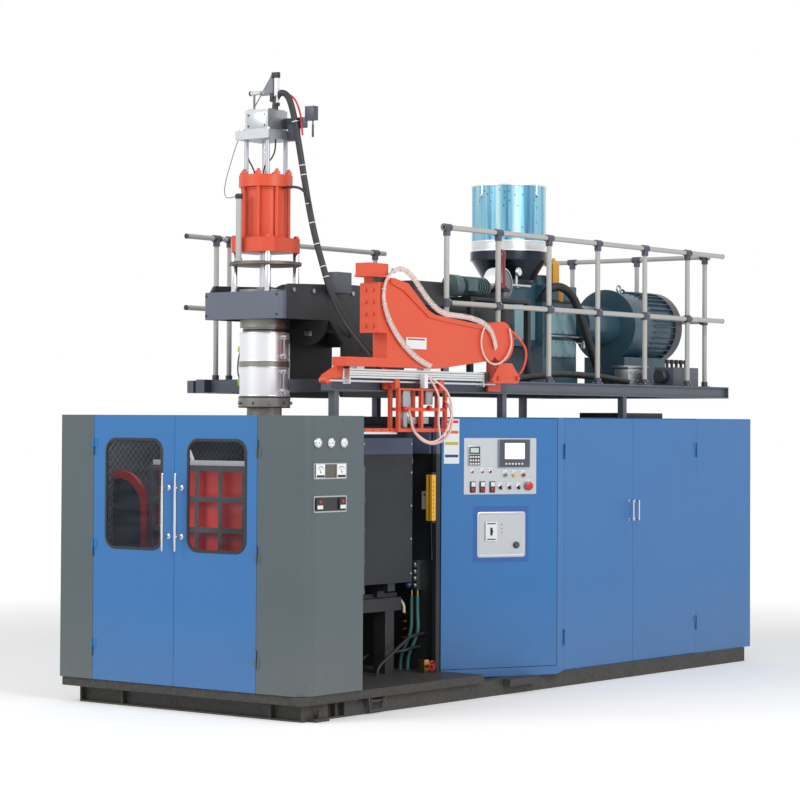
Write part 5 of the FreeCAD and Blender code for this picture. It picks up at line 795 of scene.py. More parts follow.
BUTTONS = {"green": 0.506, "yellow": 0.579, "red": 0.652}
SELECTORS = {1: 0.466, 2: 0.539, 3: 0.612}
BUTTON_ROW, SELECTOR_ROW, LAMP_ROW = 1.538, 1.45, 1.561
PAIRS, LAMPS, STOP = (0.246, 0.322, 0.402), (0.241, 0.321, 0.385), (0.693, 1.459)
COLLAR = [(0.0015, 0.0178), (0.0085, 0.0178), (0.0098, 0.0165), (0.0098, 0.0134), (0.0075, 0.0131)]
SELECTOR_COLLAR = [(0.0015, 0.0178), (0.0068, 0.0178), (0.0078, 0.0165), (0.0078, 0.0045)]
LAMP_COLLAR = [(0.0015, 0.0122), (0.0052, 0.0122), (0.0062, 0.0108), (0.0062, 0)]
STOP_COLLAR = [(0.0015, 0.0218), (0.0108, 0.0218), (0.0118, 0.0205), (0.0118, 0.0123)]
on_door("control_collars", chrome_trim, domes(COLLAR, [(along, BUTTON_ROW) for along in BUTTONS.values()], 36)
        + domes(SELECTOR_COLLAR, [(along, SELECTOR_ROW) for along in SELECTORS.values()], 36)
        + domes(LAMP_COLLAR, [(along, LAMP_ROW) for along in LAMPS], 32) + domes(STOP_COLLAR, [STOP], 40))
on_door("pilot_lamps", lamp_red,
        domes([(0.005, 0.0092), (0.0095, 0.0092), (0.0125, 0.007), (0.0138, 0.0035), (0.014, 0)],
              [(along, LAMP_ROW) for along in LAMPS[:2]]))
on_door("small_selector", black_case,
        domes([(0.005, 0.0092), (0.009, 0.0088), (0.009, 0)], [(LAMPS[2], LAMP_ROW)])
        + plates(0.0138, (0.3815, 0.3885, 1.552, 1.57), rise=0.008, bevel=0.001))
on_door("double_buttons", black_case,
        plates(0.0118, *[(along - 0.021, along + 0.021, 1.414, 1.494) for along in PAIRS], bevel=0.004))
for name, finish, low, slot in (("whites", key_white, 1.458, "panel"),
                                ("reds", dark_red, 1.42, "red_button")):
    on_door(f"double_{name}", finish,
            plates(0.016, *[(along - 0.0155, along + 0.0155, low, low + 0.03) for along in PAIRS], rise=0.01,
                   bevel=0.002))
label_spots = [(along, 1.563) for along in BUTTONS.values()]
label_spots += [(along, 1.475) for along in SELECTORS.values()]
label_spots += [(along, 1.581) for along in LAMPS] + [(STOP[0], 1.497)]
on_door("switch_labels", label_white,
        plates(0.0024, *[(along - 0.017, along + 0.017, height, height + 0.009)
                         for along, height in label_spots], rise=0.001))
for word, finish in (("green", button_green), ("yellow", button_yellow), ("red", dark_red)):
    cap = on_door(f"cap_{word}", finish,
                  domes([(0.0055, 0.0128), (0.0152, 0.0128), (0.0166, 0.0115), (0.017, 0)],
                        [(BUTTONS[word], BUTTON_ROW)], 36), f"button_{word}")
    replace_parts(cap, f"button_{word}")
for number, along in SELECTORS.items():
    knob = on_door(f"selector_knob_{number}", black_case,
                   domes([(0.003, 0.0038), (0.0085, 0.0038), (0.0085, 0.0148), (0.0135, 0.0142),
                          (0.0148, 0.013), (0.0148, 0)], [(along, SELECTOR_ROW)], 32)
                   + plates(0.0285, (along - 0.004, along + 0.004, 1.4355, 1.4645), rise=0.0135,
                            bevel=0.0015), f"selector_{number}")
    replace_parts(knob, f"selector_{number}")
    on_door(f"selector_mark_{number}", key_white,
            plates(0.0289, (along - 0.0012, along + 0.0012, 1.449, 1.463), rise=0.0275),
            f"selector_{number}")
mushroom = on_door("stop_mushroom", signal_red,
                   domes([(0.0078, 0.0118), (0.018, 0.0118), (0.018, 0.0245), (0.0195, 0.0285),
                          (0.0225, 0.03), (0.0255, 0.0288), (0.0285, 0.0225), (0.0303, 0.012), (0.031, 0)],
                         [STOP], 44), "estop_button")
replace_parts(mushroom, "estop_button")

on_door("breaker_case", key_white, plates(0.0138, (0.345, 0.438, 1.07, 1.207), bevel=0.003))
# Black plates for the breaker's lever slot and slits: painted shade inside the openings.
on_door("breaker_slit_shade", ink_black,
        plates(0.0143, (0.3825, 0.4005, 1.1105, 1.1665), (0.358, 0.425, 1.19, 1.198),
               (0.358, 0.425, 1.079, 1.087), rise=0.013)
        + plates(0.0034, *[(0.475, 0.484, low, low + 0.006) for low in (1.126, 1.155, 1.184)], rise=0.002))
on_door("breaker_knob", bezel_grey,
        domes([(0.002, 0.0235), (0.004, 0.025), (0.01, 0.025), (0.012, 0.021), (0.021, 0.0195),
               (0.0235, 0.0175), (0.024, 0)], [(0.597, 1.04)], 24))
dress(black_case, "breaker_lever")


# Service bay: painted sheets round the clamp's rear, with a light curtain on the slim post and a
# manifold of push-in fittings above the green hoses. The upper sheets are slate; the lower ones are
# near black, partly their charcoal paint and partly painted shade deep in the bay.
def two_tone(name, near_paint, far_paint, level, axis, gloss, drift=0.1, shine=0.5, patch=9.0, worn=0.8):
    """Paint of one colour up to a level on an axis and another beyond it."""
    finish = painted(name, near_paint, gloss=gloss, drift=drift, dust=0.06, shine=shine)
    surface, near, place = paint_of(finish)
    far = mixed(noise(place, patch, 4.0), shaded(far_paint, worn), far_paint)
    fill(surface, Base_Color=mixed(sums("GREATER_THAN", axis_of(place, axis), level), near, far))
    return finish


# Below the set height the near black stands partly for the sheets' paint and partly for painted shade in the
# bay.
dress(two_tone("bay_paint_and_painted_shade", colour(28, 31, 35), colour(80, 90, 112), 1.69, 2, 0.45, 0.12, 0.3, 5.0, 0.86),
      "bay_panels")
clamp_dark = painted("clamp_dark", colour(34, 36, 40), gloss=0.5, drift=0.15, dust=0.08, shine=0.35)
dress(clamp_dark, "clamp_bed", "clamp_yoke", "guard_frame")
curtain_yellow = painted("curtain_yellow", colour(232, 176, 44), gloss=0.4, drift=0.03)
CURTAIN_LEFT, CURTAIN_RIGHT, CURTAIN_FRONT, CURTAIN_REAR = 0.612, 0.666, 1.905, 1.95
CURTAIN_LOW, CURTAIN_TOP = 1.222, 1.543
curtain = made_piece("light_curtain", curtain_yellow, [
    block(left, right, CURTAIN_FRONT + inset, CURTAIN_REAR, CURTAIN_LOW, CURTAIN_TOP, bevel)
    for left, right, inset, bevel in ((CURTAIN_LEFT, CURTAIN_LEFT + 0.024, 0, 0.002),
                                      (CURTAIN_LEFT + 0.03, CURTAIN_RIGHT, 0, 0.002),
                                      (CURTAIN_LEFT + 0.022, CURTAIN_LEFT + 0.032, 0.006, 0))])
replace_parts(curtain, "bay_fittings")
curtain_marks = [
    block(CURTAIN_LEFT, CURTAIN_RIGHT, CURTAIN_FRONT + 0.001, CURTAIN_REAR, low, low + 0.017, 0.003)
    for low in (CURTAIN_LOW - 0.017, CURTAIN_TOP)]
curtain_marks += [block(CURTAIN_RIGHT - 0.001, CURTAIN_RIGHT + 0.0004, CURTAIN_FRONT + 0.012,
                        CURTAIN_FRONT + 0.02, 1.245 + 0.03 * i, 1.257 + 0.03 * i) for i in range(9)]
curtain_marks.append(block(CURTAIN_LEFT + 0.0235, CURTAIN_LEFT + 0.0305, CURTAIN_FRONT - 0.0003,
                           CURTAIN_FRONT + 0.007, 1.23, 1.535))
made_piece("curtain_caps", ink_black, curtain_marks)
hose("curtain_cable", laid((0.64, 1.93, 1.206), (0.64, 1.932, 1.15), (0.638, 1.938, 1.06),
                           (0.639, 1.941, 0.97)), 0.0035, black_case)
made_piece("curtain_plugs", black_case, [
    (turned_into, [(0, 0.006), (0.03, 0.006), (0.032, 0.004)], (0.639, back(1.9405), 0.945), UP, 12),
    (turned_into, [(0, 0.005), (0.02, 0.005)], (0.639, back(1.9405), 0.985), UP, 12)])

brass = bare_metal("brass", colour(190, 152, 84), 0.3, drift=0.1)
fitting_blue = plain("fitting_blue", colour(36, 62, 140), 0.3)
MANIFOLD_FACE = back(1.918)
PORTS = [(along, 0.835 + (i - 1.5) * 0.048) for along in (0.455, 0.505) for i in range(4)]
manifold = made_piece("valve_manifold", brushed_trim, [
    (box_into, (0.43, MANIFOLD_FACE, 0.73), (0.53, back(1.978), 0.94), 0.003)]
    + [(turned_into, [(-0.001, 0.0165), (0.008, 0.0165), (0.01, 0.0145)], (along, MANIFOLD_FACE, height),
        FRONT, 6) for along, height in PORTS])
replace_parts(manifold, "bay_fittings")
COUPLER = [(0.008, 0.0125), (0.022, 0.0125), (0.0255, 0.0105), (0.0285, 0.0105), (0.0285, 0.006),
           (0.02, 0.006)]
for word, finish, along in (("blue", fitting_blue, 0.455), ("black", black_case, 0.505)):
    made_piece(f"couplers_{word}", finish, [
        (turned_into, COUPLER, (along, MANIFOLD_FACE, height), FRONT, 20)
        for spot, height in PORTS if spot == along])
made_piece("manifold_outlets", brass, [
    (turned_into, [(0, 0.01), (0.012, 0.01), (0.013, 0.013), (0.032, 0.013), (0.033, 0.01), (0.041, 0.01)],
     (along, back(1.953), 0.69), UP, 12) for along in (0.455, 0.505)])
valve = made_piece("drain_valve", brass, [
    block(0.6, 0.66, 1.83, 1.89, 0.1662, 0.255, 0.006),
    (turned_into, [(0, 0.018), (0.006, 0.018), (0.008, 0.012), (0.03, 0.012), (0.032, 0.006), (0.055, 0.006)],
     (0.66, back(1.86), 0.215), OUT, 24)])
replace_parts(valve, "bay_fittings")
WHEEL, RIM_REACH, HUB_REACH = (0.697, back(1.86), 0.215), 0.033, 0.006


def on_wheel(turn, reach):
    """A place on the wheel's plane."""
    return (WHEEL[0] + 0.006, WHEEL[1] + reach * math.cos(turn), WHEEL[2] + reach * math.sin(turn))


handwheel = made_piece("handwheel", signal_red, [
    (tube_into, [on_wheel(math.tau * i / 36, RIM_REACH) for i in range(37)], 0.005, 12),
    (turned_into, [(0, 0.0125), (0.004, 0.013), (0.013, 0.013), (0.0175, 0.0095), (0.018, 0.0062)],
     WHEEL, OUT, 24)]
    + [(tube_into, [on_wheel(turn, HUB_REACH), on_wheel(turn, RIM_REACH)], 0.004, 8)
       for turn in (0.3 + math.tau * i / 5 for i in range(5))], "valve_handwheel")
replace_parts(handwheel, "valve_handwheel")

# Small parts of the bay: dome screws down the painted sheets, cut cable slots, a bare printed label,
# cream wires along the post and brass pipe ends screwed into the lower sheet.
bolt_tree, bolt_in, bolt_out = shape_tree("bolt_heads", Radius="Float", Height="Float", Sides="Int",
                                          Finish="Material")
bolt_head = wired(bolt_tree, "GeometryNodeMeshCylinder", Vertices=bolt_in["Sides"], Radius=bolt_in["Radius"],
                  Depth=bolt_in["Height"])
bolt_lift = wired(bolt_tree, "ShaderNodeCombineXYZ", Z=sums("MULTIPLY", bolt_in["Height"], 0.45))
bolt_seated = wired(bolt_tree, "GeometryNodeTransform", Geometry=bolt_head, Translation=bolt_lift)
bolt_facing = wired(bolt_tree, "GeometryNodeInputNamedAttribute", settings={"data_type": "FLOAT_VECTOR"},
                    Name="facing")
bolt_turn = wired(bolt_tree, "FunctionNodeAlignRotationToVector", settings={"axis": "Z"}, Vector=bolt_facing)
bolt_spread = wired(bolt_tree, "GeometryNodeInstanceOnPoints", Points=bolt_in["Mesh"], Instance=bolt_seated,
                    Rotation=bolt_turn)
bolt_real = wired(bolt_tree, "GeometryNodeRealizeInstances", Geometry=bolt_spread)
fill(bolt_out, _0=wired(bolt_tree, "GeometryNodeSetMaterial", Geometry=bolt_real, Material=bolt_in["Finish"]))


def bolts(name, places, facing, radius, height, finish, sides=6):
    """Bolt heads at the places, all facing one way or each its own."""
    ways = facing if isinstance(facing[0], (tuple, Vector)) else [facing] * len(places)
    values = {"Radius": radius, "Height": height, "Sides": sides, "Finish": finish}
    return grown_piece(name, bolt_tree, places, values, facing=ways)


zinc = bare_metal("zinc", colour(176, 178, 182), 0.35, drift=0.1)
bolts("bay_screws", [(0.608, back(1.735), height) for height in (0.86, 1.1, 1.33, 1.56, 1.76)]
      + [(0.608, back(1.2), height) for height in (0.86, 1.33, 1.76)], OUT, 0.008, 0.005, zinc, 10)
# The cable slots are thin black strips: painted shade inside the cut openings.
made_piece("bay_slot_shade", ink_black, [
    block(0.4195, 0.4206, 1.9, 1.925, low, high) for low, high in ((1.33, 1.58), (0.97, 1.18))])
made_piece("bay_label", label_white, [block(0.522, 0.588, 1.978 - 0.0006, 1.978, 1.297, 1.425)])
made_piece("bay_label_marks", ink_black, [
    block(left, left + 0.012, 1.978 - 0.001, 1.978 - 0.0004, 1.39, 1.412) for left in (0.537, 0.561)])
for i in range(3):
    hose(f"bay_wire_{i}", laid((0.43 + 0.008 * i, 1.978, 1.79), (0.425 + 0.006 * i, 1.968, 1.765),
                               (0.432 + 0.004 * i, 1.968, 1.73), (0.427 + 0.007 * i, 1.974, 1.66 - 0.02 * i)),
         0.0028, key_white)
made_piece("bay_pipes", brass, [
    (turned_into, [(0, 0.009), (0.02, 0.009), (0.021, 0.013), (0.04, 0.013), (0.041, 0.009), (0.062, 0.009)],
     (0.405, back(1.9785), height), FRONT, 8) for height in (0.56, 0.505, 0.45, 0.39)])
made_piece("bay_elbow", plain("pipe_cream", colour(222, 212, 190), 0.4), [
    (tube_into, laid((0.332, 1.93, 0.662), (0.352, 1.93, 0.66), (0.378, 1.93, 0.65), (0.396, 1.93, 0.63),
                     (0.404, 1.93, 0.605), (0.405, 1.93, 0.566)), 0.011, 12)])


# Rear cabinets: one blue sheet steel enclosure with two doors on lift-off hinges. The two D handles
# are bright steel, and the wiring tray on the roof is dark sheet.
dress(panel_blue, "rear_cabinet", "rear_door_front", "rear_door_rear")


def rod_steps(*bars, sides=20):
    """Round bars, each given by its ends and its radius."""
    return [(turned_into, [(0, radius), ((Vector(far) - Vector(near)).length, radius)], near,
             tuple((Vector(far) - Vector(near)).normalized()), sides) for near, far, radius in bars]


for place, station in (("front", back(3.957)), ("rear", back(4.035))):
    made_piece(f"rear_handle_{place}", polished,
               rod_steps(((0.9972, station, 1.186), (1.0352, station, 1.186), 0.0066),
                         ((0.9972, station, 1.324), (1.0352, station, 1.324), 0.0066),
                         ((1.035, station, 1.1795), (1.035, station, 1.3305), 0.0068))
               + [(turned_into, [(-0.0005, 0.011), (0.003, 0.011), (0.004, 0.009)], (0.997, station, height),
                   OUT, 20) for height in (1.186, 1.324)], f"rear_door_{place}")
made_piece("wiring_tray", charcoal, [block(0.4385, 0.8015, 4.1185, 4.7515, 1.9505, 1.9905, 0.004)])

# Platform: welded channels painted slate, bolted through their feet to the cabinets, and handrails
# of bright galvanised tube in dark cast clamp fittings with grub screws.
platform_slate = painted("platform_slate", colour(80, 86, 98), gloss=0.42, drift=0.08, dust=0.12)
dress(platform_slate, "platform_frame")
rail_tube_finish = painted("rail_tube_skin", colour(176, 176, 172), gloss=0.32, drift=0.05)
dress(rail_tube_finish, "handrail_tubes")
cast_fitting = painted("cast_fitting", colour(62, 67, 82), gloss=0.36, drift=0.1, peel=0.3)
dress(cast_fitting, "rail_fittings")
NEAR_POSTS = [back(station) for station in (1.827, 2.448, 3.096, 3.752, 4.421, 5.058)]
NEAR_X, RAIL_TOP, RAIL_MIDDLE, DECK = 0.84, 3.267, 2.742, 2.207
grub_places = [(NEAR_X + 0.026, station, height) for station in NEAR_POSTS
               for height in (RAIL_TOP - 0.04, RAIL_MIDDLE + 0.02, DECK + 0.03)]
grub_places += [(NEAR_X + 0.026, station + 0.03, RAIL_TOP) for station in NEAR_POSTS]
bolts("grub_screws", grub_places, OUT, 0.006, 0.006, zinc, 6)
foot_bolts = [(NEAR_X + 0.034 * math.cos(turn), station + 0.034 * math.sin(turn), DECK + 0.008)
              for station in NEAR_POSTS for turn in (0.785, 2.356, 3.927, 5.498)]
bolts("flange_bolts", foot_bolts, UP, 0.006, 0.006, zinc, 6)
PLUG = [(0, 0.0198), (0.006, 0.0198), (0.008, 0.017), (0.008, 0)]
made_piece("rail_plugs", black_case, [
    (turned_into, PLUG, place, way, 24)
    for place, way in (((-1.25, back(1.45), RAIL_TOP), FRONT), ((-1.25, back(1.45), RAIL_MIDDLE), FRONT),
                       ((NEAR_X, back(5.6), RAIL_TOP), (0, 1, 0)),
                       ((NEAR_X, back(5.6), RAIL_MIDDLE), (0, 1, 0)),
                       ((-1.28, back(5.597), RAIL_TOP), (-1, 0, 0)))])


# Head carrier: a thick slate front plate between two charcoal cheeks, with bright bolt heads, a
# rounded gusset and a half round cover under the bridge.
dress(two_tone("carrier_paint", colour(92, 99, 114), colour(52, 55, 60), back(0.682), 1, 0.42),
      "head_carrier")
CHEEK = 0.342
bolts("carrier_bolts",
      [(CHEEK, back(station), height)
       for station, height in ((0.76, 2.8), (0.97, 2.8), (1.19, 2.8), (1.4, 2.8), (1.52, 2.42), (1.52, 2.25),
                               (1.82, 2.42), (1.82, 2.25))], OUT, 0.017, 0.012, zinc)
bolts("plate_screws", [(x, back(0.62), height) for x in (-0.315, 0.315) for height in (2.63, 2.765)], FRONT,
      0.008, 0.005, ink_black, 12)
made_piece("carrier_cover", clamp_dark, [
    (arc_plate, (0.2, 2.604), 0.002, 0.17, 180, 360, back(1.09), back(1.1), 20)])
made_piece("carrier_tag", zinc, [block(0.17, 0.235, 1.0885, 1.0905, 2.5, 2.535, 0.001)])

# Die head: bright heater bands with rolled edges round the body, clamped by spring latches on the
# operator's side, over a heavy turned steel ring with a darker, heat stained surface.
head_steel = bare_metal("head_steel", colour(150, 148, 144), 0.36, stretch=(1, 1, 14), drift=0.3, bump=0.1)
band_steel = bare_metal("band_steel", colour(232, 234, 238), 0.3, stretch=(1, 1, 10), drift=0.06, bump=0.05)
dress(head_steel, "die_head")
dress(band_steel, "heater_bands")
AXIS = back(0.87)
BANDS = ((2.081, 2.282), (2.318, 2.516))
ROLLED_EDGE = [(-0.004, 0.1725), (-0.003, 0.1745), (0, 0.1755), (0.003, 0.1745), (0.004, 0.1725)]
edge_steps, latch_steps = [], []
for low, high in BANDS:
    edge_steps += [(turned_into, ROLLED_EDGE, (0, AXIS, height), UP, 64)
                   for height in (low + 0.004, high - 0.004)]
    for height in (low + 0.035, high - 0.035):
        latch_steps += [(box_into, (0.176, AXIS + start, height - 0.014),
                         (0.19, AXIS + start + 0.024, height + 0.014), 0.003) for start in (-0.03, 0.006)]
        latch_steps += rod_steps(((0.186, AXIS - 0.046, height), (0.186, AXIS + 0.04, height), 0.0045),
                                 ((0.186, AXIS - 0.046, height), (0.186, AXIS - 0.03, height), 0.01))
    latch_steps += rod_steps(((0.19, AXIS - 0.02, low + 0.03), (0.19, AXIS - 0.02, high - 0.03), 0.003))
made_piece("band_edges", band_steel, edge_steps)
made_piece("band_latches", polished, latch_steps)
# Black rings in the ring's grooves and a narrower black band above the top heater band: painted shade in the
# grooves and the gap.
made_piece("ring_groove_shade", ink_black, [
    (turned_into, [(0, 0.1783), (0.004, 0.1786), (0.008, 0.1783)], (0, AXIS, height), UP, 64)
    for height in (2.003, 2.07)] + [(turned_into, [(0, 0.1525), (0.012, 0.1525)], (0, AXIS, 2.527), UP, 48)])
RING_REACH = 0.178
ring_ways = [(math.cos(turn), math.sin(turn), 0) for turn in (math.radians(-118 + 40 * i) for i in range(8))]
bolts("ring_screws", [(RING_REACH * x, AXIS + RING_REACH * y, 2.037) for x, y, _ in ring_ways], ring_ways,
      0.011, 0.014, head_steel, 10)
connector_green = plain("connector_green", colour(170, 190, 60), 0.4)
made_piece("band_sockets", connector_green, [
    (box_into, (-0.18, AXIS - 0.075, low), (-0.158, AXIS - 0.045, low + 0.04), 0.004)
    for low in (2.155, 2.385)])
hose("band_cable", [(-0.172, AXIS - 0.06, 2.385), (-0.184, AXIS - 0.063, 2.34), (-0.189, AXIS - 0.063, 2.28),
                    (-0.185, AXIS - 0.063, 2.23), (-0.172, AXIS - 0.06, 2.193)], 0.005, black_case)


# Shot cylinder: an orange cylinder held by eight tie rods on four chromed columns, over a rough
# turned disc. A guide tube stands at the disc's edge, and the gap actuator sits on top.
orange_paint = painted("orange_paint", colour(214, 76, 42), gloss=0.34, drift=0.05, peel=0.2)
dress(orange_paint, "shot_cylinder")
dress(polished, "shot_ram", "gap_rod")
rough_steel = bare_metal("rough_steel", colour(128, 120, 112), 0.45, drift=0.35, bump=0.2)
COLUMNS = [(x, AXIS + y) for x in (-0.15, 0.15) for y in (-0.15, 0.15)]
columns = made_piece("head_columns", polished, [
    (turned_into, [(0, 0.0255), (0.012, 0.0255), (0.013, 0.022), (0.272, 0.022), (0.2752, 0.0205)],
     (x, y, 2.79), UP, 28) for x, y in COLUMNS])
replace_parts(columns, "shot_columns")
disc = made_piece("column_disc", rough_steel, [
    (turned_into, [(0, 0.045), (0, 0.247), (0.003, 0.25), (0.021, 0.25), (0.024, 0.247), (0.024, 0.045),
                   (0, 0.045)], (0, AXIS, 2.976), UP, 72)])
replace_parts(disc, "shot_columns")
guide_tube = made_piece("column_guide", rail_tube_finish, [
    (turned_into, [(0, 0.026), (0.02, 0.026), (0.022, 0.02), (0.428, 0.02), (0.43, 0.018), (0.43, 0.014),
                   (0.4, 0.014), (0.4, 0)], (-0.045, back(0.642), 3.0), UP, 28)])
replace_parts(guide_tube, "shot_columns")
bolts("flange_screws", [(x, y, 3.162) for x, y in COLUMNS], UP, 0.019, 0.02, orange_paint)
ROD_REACH = 0.165
bolts("tie_rod_ends", [(ROD_REACH * math.cos(turn), AXIS + ROD_REACH * math.sin(turn), 3.618)
                       for turn in (math.radians(22.5 + 45 * i) for i in range(8))], UP, 0.011, 0.016,
      orange_paint, 16)
made_piece("cylinder_rings", orange_paint, [
    (turned_into, [(0, 0.1475), (0, 0.153), (0.003, 0.156), (0.014, 0.156), (0.017, 0.153), (0.017, 0.1475)],
     (0, AXIS, height), UP, 64) for height in (3.163, 3.494)])

actuator_cast = bare_metal("actuator_cast", colour(176, 180, 186), 0.4, drift=0.12, bump=0.15)
dress(actuator_cast, "actuator_frame")
bracket_grey = painted("bracket_grey", colour(116, 120, 128), gloss=0.34, drift=0.1)


def flat_path(*corners):
    """The sharp corners of a plate, as a path."""
    return [(Vector(corner), Vector((0, 0))) for corner in corners]


bracket = made_piece("transducer_plate", bracket_grey, [
    (slab_into, flat_path((-0.034, 4.15), (0.06, 4.15), (0.064, 4.298), (0.052, 4.298)), 0,
     AXIS - 0.004, AXIS + 0.004)]
    + rod_steps(((-0.109, AXIS, 4.038), (-0.109, AXIS, 4.165), 0.008),
                ((-0.109, AXIS, 4.072), (0.054, AXIS, 4.292), 0.004),
                ((-0.045, AXIS, 4.153), (0.06, AXIS, 4.153), 0.006)))
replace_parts(bracket, "transducer_bracket")
made_piece("transducer_bar", chrome_trim, rod_steps(((-0.14, AXIS, 4.171), (-0.045, AXIS, 4.171), 0.0155)))


def astride(left, right, half, low, high, bevel=0.0):
    """The step for a box that straddles the plane of the head's axis."""
    return (box_into, (left, AXIS - half, low), (right, AXIS + half, high), bevel)


made_piece("transducer_body", key_white, [astride(0.08, 0.108, 0.014, 4.086, 4.262, 0.003)])
made_piece("transducer_ends", ink_black, [
    astride(0.056, 0.112, 0.016, 4.262, 4.302, 0.004), astride(0.077, 0.11, 0.016, 4.07, 4.092, 0.003),
    astride(0.066, 0.081, 0.01, 4.085, 4.27), astride(0.044, 0.072, 0.018, 4.1, 4.16, 0.004),
    (turned_into, [(0, 0.012), (0.004, 0.0175), (0.014, 0.0175)], (-0.15, AXIS, 4.171), OUT, 20)])
made_piece("actuator_side", clamp_dark, [astride(-0.1055, -0.102, 0.085, 3.905, 4.034, 0.001)])
made_piece("actuator_cover", brushed_trim, [
    (box_into, (-0.085, AXIS - 0.1055, 3.915), (0.09, AXIS - 0.102, 4.02), 0.001),
    astride(-0.092, 0.092, 0.092, 4.0395, 4.049, 0.003)])
bolts("actuator_screws", [(x, AXIS + y, 3.899) for x in (-0.125, 0.125) for y in (-0.125, 0.125)], UP, 0.012,
      0.014, zinc)
bolts("cover_screws", [(x, AXIS - 0.1055, z) for x in (-0.07, 0.075) for z in (3.93, 4.005)], FRONT, 0.006,
      0.004, ink_black, 12)
grey_wire = rubber("grey_wire", colour(112, 114, 118), 0.4, 0.02)
GUIDE = (-0.045, back(0.642))
for name, radius, finish, route in (("cable_left", 0.0055, ink_black,
                                     ((-0.118, -0.06, 3.838), (-0.122, -0.065, 3.775), (-0.112, -0.06, 3.715),
                                      (-0.08, -0.05, 3.66), (-0.062, -0.045, 3.618))),
                                    ("cable_right", 0.0055, ink_black,
                                     ((0.102, -0.02, 3.838), (0.104, -0.02, 3.775), (0.085, -0.03, 3.715),
                                      (0.045, -0.04, 3.678), (0.018, -0.04, 3.655), (0.012, -0.04, 3.6))),
                                    ("wire_left", 0.003, grey_wire,
                                     ((-0.104, -0.05, 3.925), (-0.15, -0.05, 3.93), (-0.19, -0.07, 3.86),
                                      (-0.22, -0.11, 3.7), (-0.235, -0.15, 3.56), (-0.215, -0.19, 3.465),
                                      (-0.15, -0.22, 3.425), (-0.066, GUIDE[1] - AXIS, 3.445))),
                                    ("branch_hose", 0.009, black_hose_finish,
                                     ((0.152, 0, 3.508), (0.235, 0, 3.512), (0.305, 0.02, 3.495),
                                      (0.338, 0.06, 3.43), (0.345, 0.08, 3.345), (0.352, 0.08, 3.245)))):
    hose(name, [(x, AXIS + y, z) for x, y, z in route], radius, finish)
made_piece("guide_cap", charcoal, [
    (turned_into, [(0, 0.0245), (0.004, 0.0265), (0.028, 0.0265), (0.034, 0.018)], (*GUIDE, 3.424), UP, 24)])
made_piece("connector_box", cast_fitting, [
    (box_into, (0.292, AXIS + 0.06, 3.962), (0.372, AXIS + 0.11, 4.06), 0.004),
    (box_into, (0.15, AXIS + 0.05, 3.83), (0.232, AXIS + 0.092, 3.945), 0.005),
    (box_into, (0.1, AXIS + 0.076, 3.915), (0.3, AXIS + 0.084, 3.99), 0.001),
    (turned_into, [(0, 0.006), (0.004, 0.008), (0.085, 0.008), (0.09, 0.005), (0.116, 0.005)],
     (0.345, AXIS + 0.085, 3.848), UP, 14)])

# Ties of the head bundle: white nylon cable ties pulled tight round the hose below its crest, and a
# red rubber cable that runs beside it.
bundle_path = line_points(HEAD_BUNDLE)
falling = [i for i in range(1, len(bundle_path) - 1) if bundle_path[i].x > 0.15]
tied = [min(falling, key=lambda i: abs(bundle_path[i].z - height))
        for height in (3.965, 3.66, 3.6, 3.4, 3.26, 3.12, 2.96, 2.9)]
bolts("bundle_ties", [bundle_path[i] for i in tied],
      [(bundle_path[i + 1] - bundle_path[i - 1]).normalized() for i in tied], 0.0236, 0.006, key_white,
      18)
hose("red_cable", [(0.15, -2.0, 4.158), (0.205, -1.985, 4.135), (0.24, -1.965, 4.05), (0.255, -1.955, 3.955),
                   (0.262, -1.955, 3.865)], 0.007, signal_red)


# Take-out arm: an orange casting bolted to the near channel, with a welded stiffener along its
# crest, a hanger at its tip, clear air tubes tied along it and a junction box beside its top.
dress(orange_paint, "arm_housing")
dress(two_tone("carriage_paint", colour(214, 76, 42), colour(228, 192, 180), 1.009, 0, 0.34),
      "takeout_carriage")
ARM_FACE = 1.02


def plate_into(bm, near, far, outline):
    """A plate of constant thickness along X, with its outline given as (station, height) pairs."""
    rows = [[bm.verts.new((x, back(station), height)) for station, height in outline] for x in (near, far)]
    skin_into(bm, rows)
    break_edges(bm, rows[0] + rows[1], 0.002)


STIFFENER = [(0.945, 2.868), (0.99, 2.868), (1.143, 2.838), (1.362, 2.668), (1.442, 2.638), (2.004, 2.588),
             (2.14, 2.57), (2.02, 2.556), (1.53, 2.6), (1.375, 2.618), (1.09, 2.79), (0.975, 2.826),
             (0.945, 2.828)]
HANGER = [(0.492, 2.282), (0.565, 2.278), (0.557, 2.205), (0.43, 2.162), (0.338, 2.16), (0.322, 2.172),
          (0.345, 2.215)]
FOOT_PLATE = [(2.224, 2.33), (2.372, 2.33), (2.476, 2.225), (2.445, 2.188), (2.147, 2.186), (2.127, 2.215)]
made_piece("arm_stiffener", orange_paint, [
    (plate_into, ARM_FACE - 0.002, ARM_FACE + 0.01, STIFFENER), (plate_into, 0.926, 0.938, HANGER),
    (plate_into, 1.006, 1.018, FOOT_PLATE),
    (turned_into, [(0, 0.02), (0.002, 0.022), (0.058, 0.022), (0.06, 0.02)],
     (0.92, back(0.347), 2.18), OUT, 24),
    block(0.886, 1.034, 0.735, 0.925, 2.868, 2.882, 0.003)])
# A charcoal strip in the recess under the crest cap: painted shade in the recess.
made_piece("arm_recess_shade", clamp_dark, [block(ARM_FACE - 0.004, ARM_FACE + 0.0006, 0.775, 0.905, 2.835, 2.866)])
bolts("foot_bolts", [(1.018, back(2.2), 2.22), (1.018, back(2.431), 2.224)], OUT, 0.017, 0.012,
      painted("orange_nuts", colour(190, 62, 40), gloss=0.3))
made_piece("arm_label", label_white, [block(ARM_FACE - 0.001, ARM_FACE + 0.0005, 1.13, 1.356, 2.403, 2.48)])
made_piece("arm_label_bar", signal_red, [block(ARM_FACE, ARM_FACE + 0.0009, 1.148, 1.338, 2.462, 2.473)])

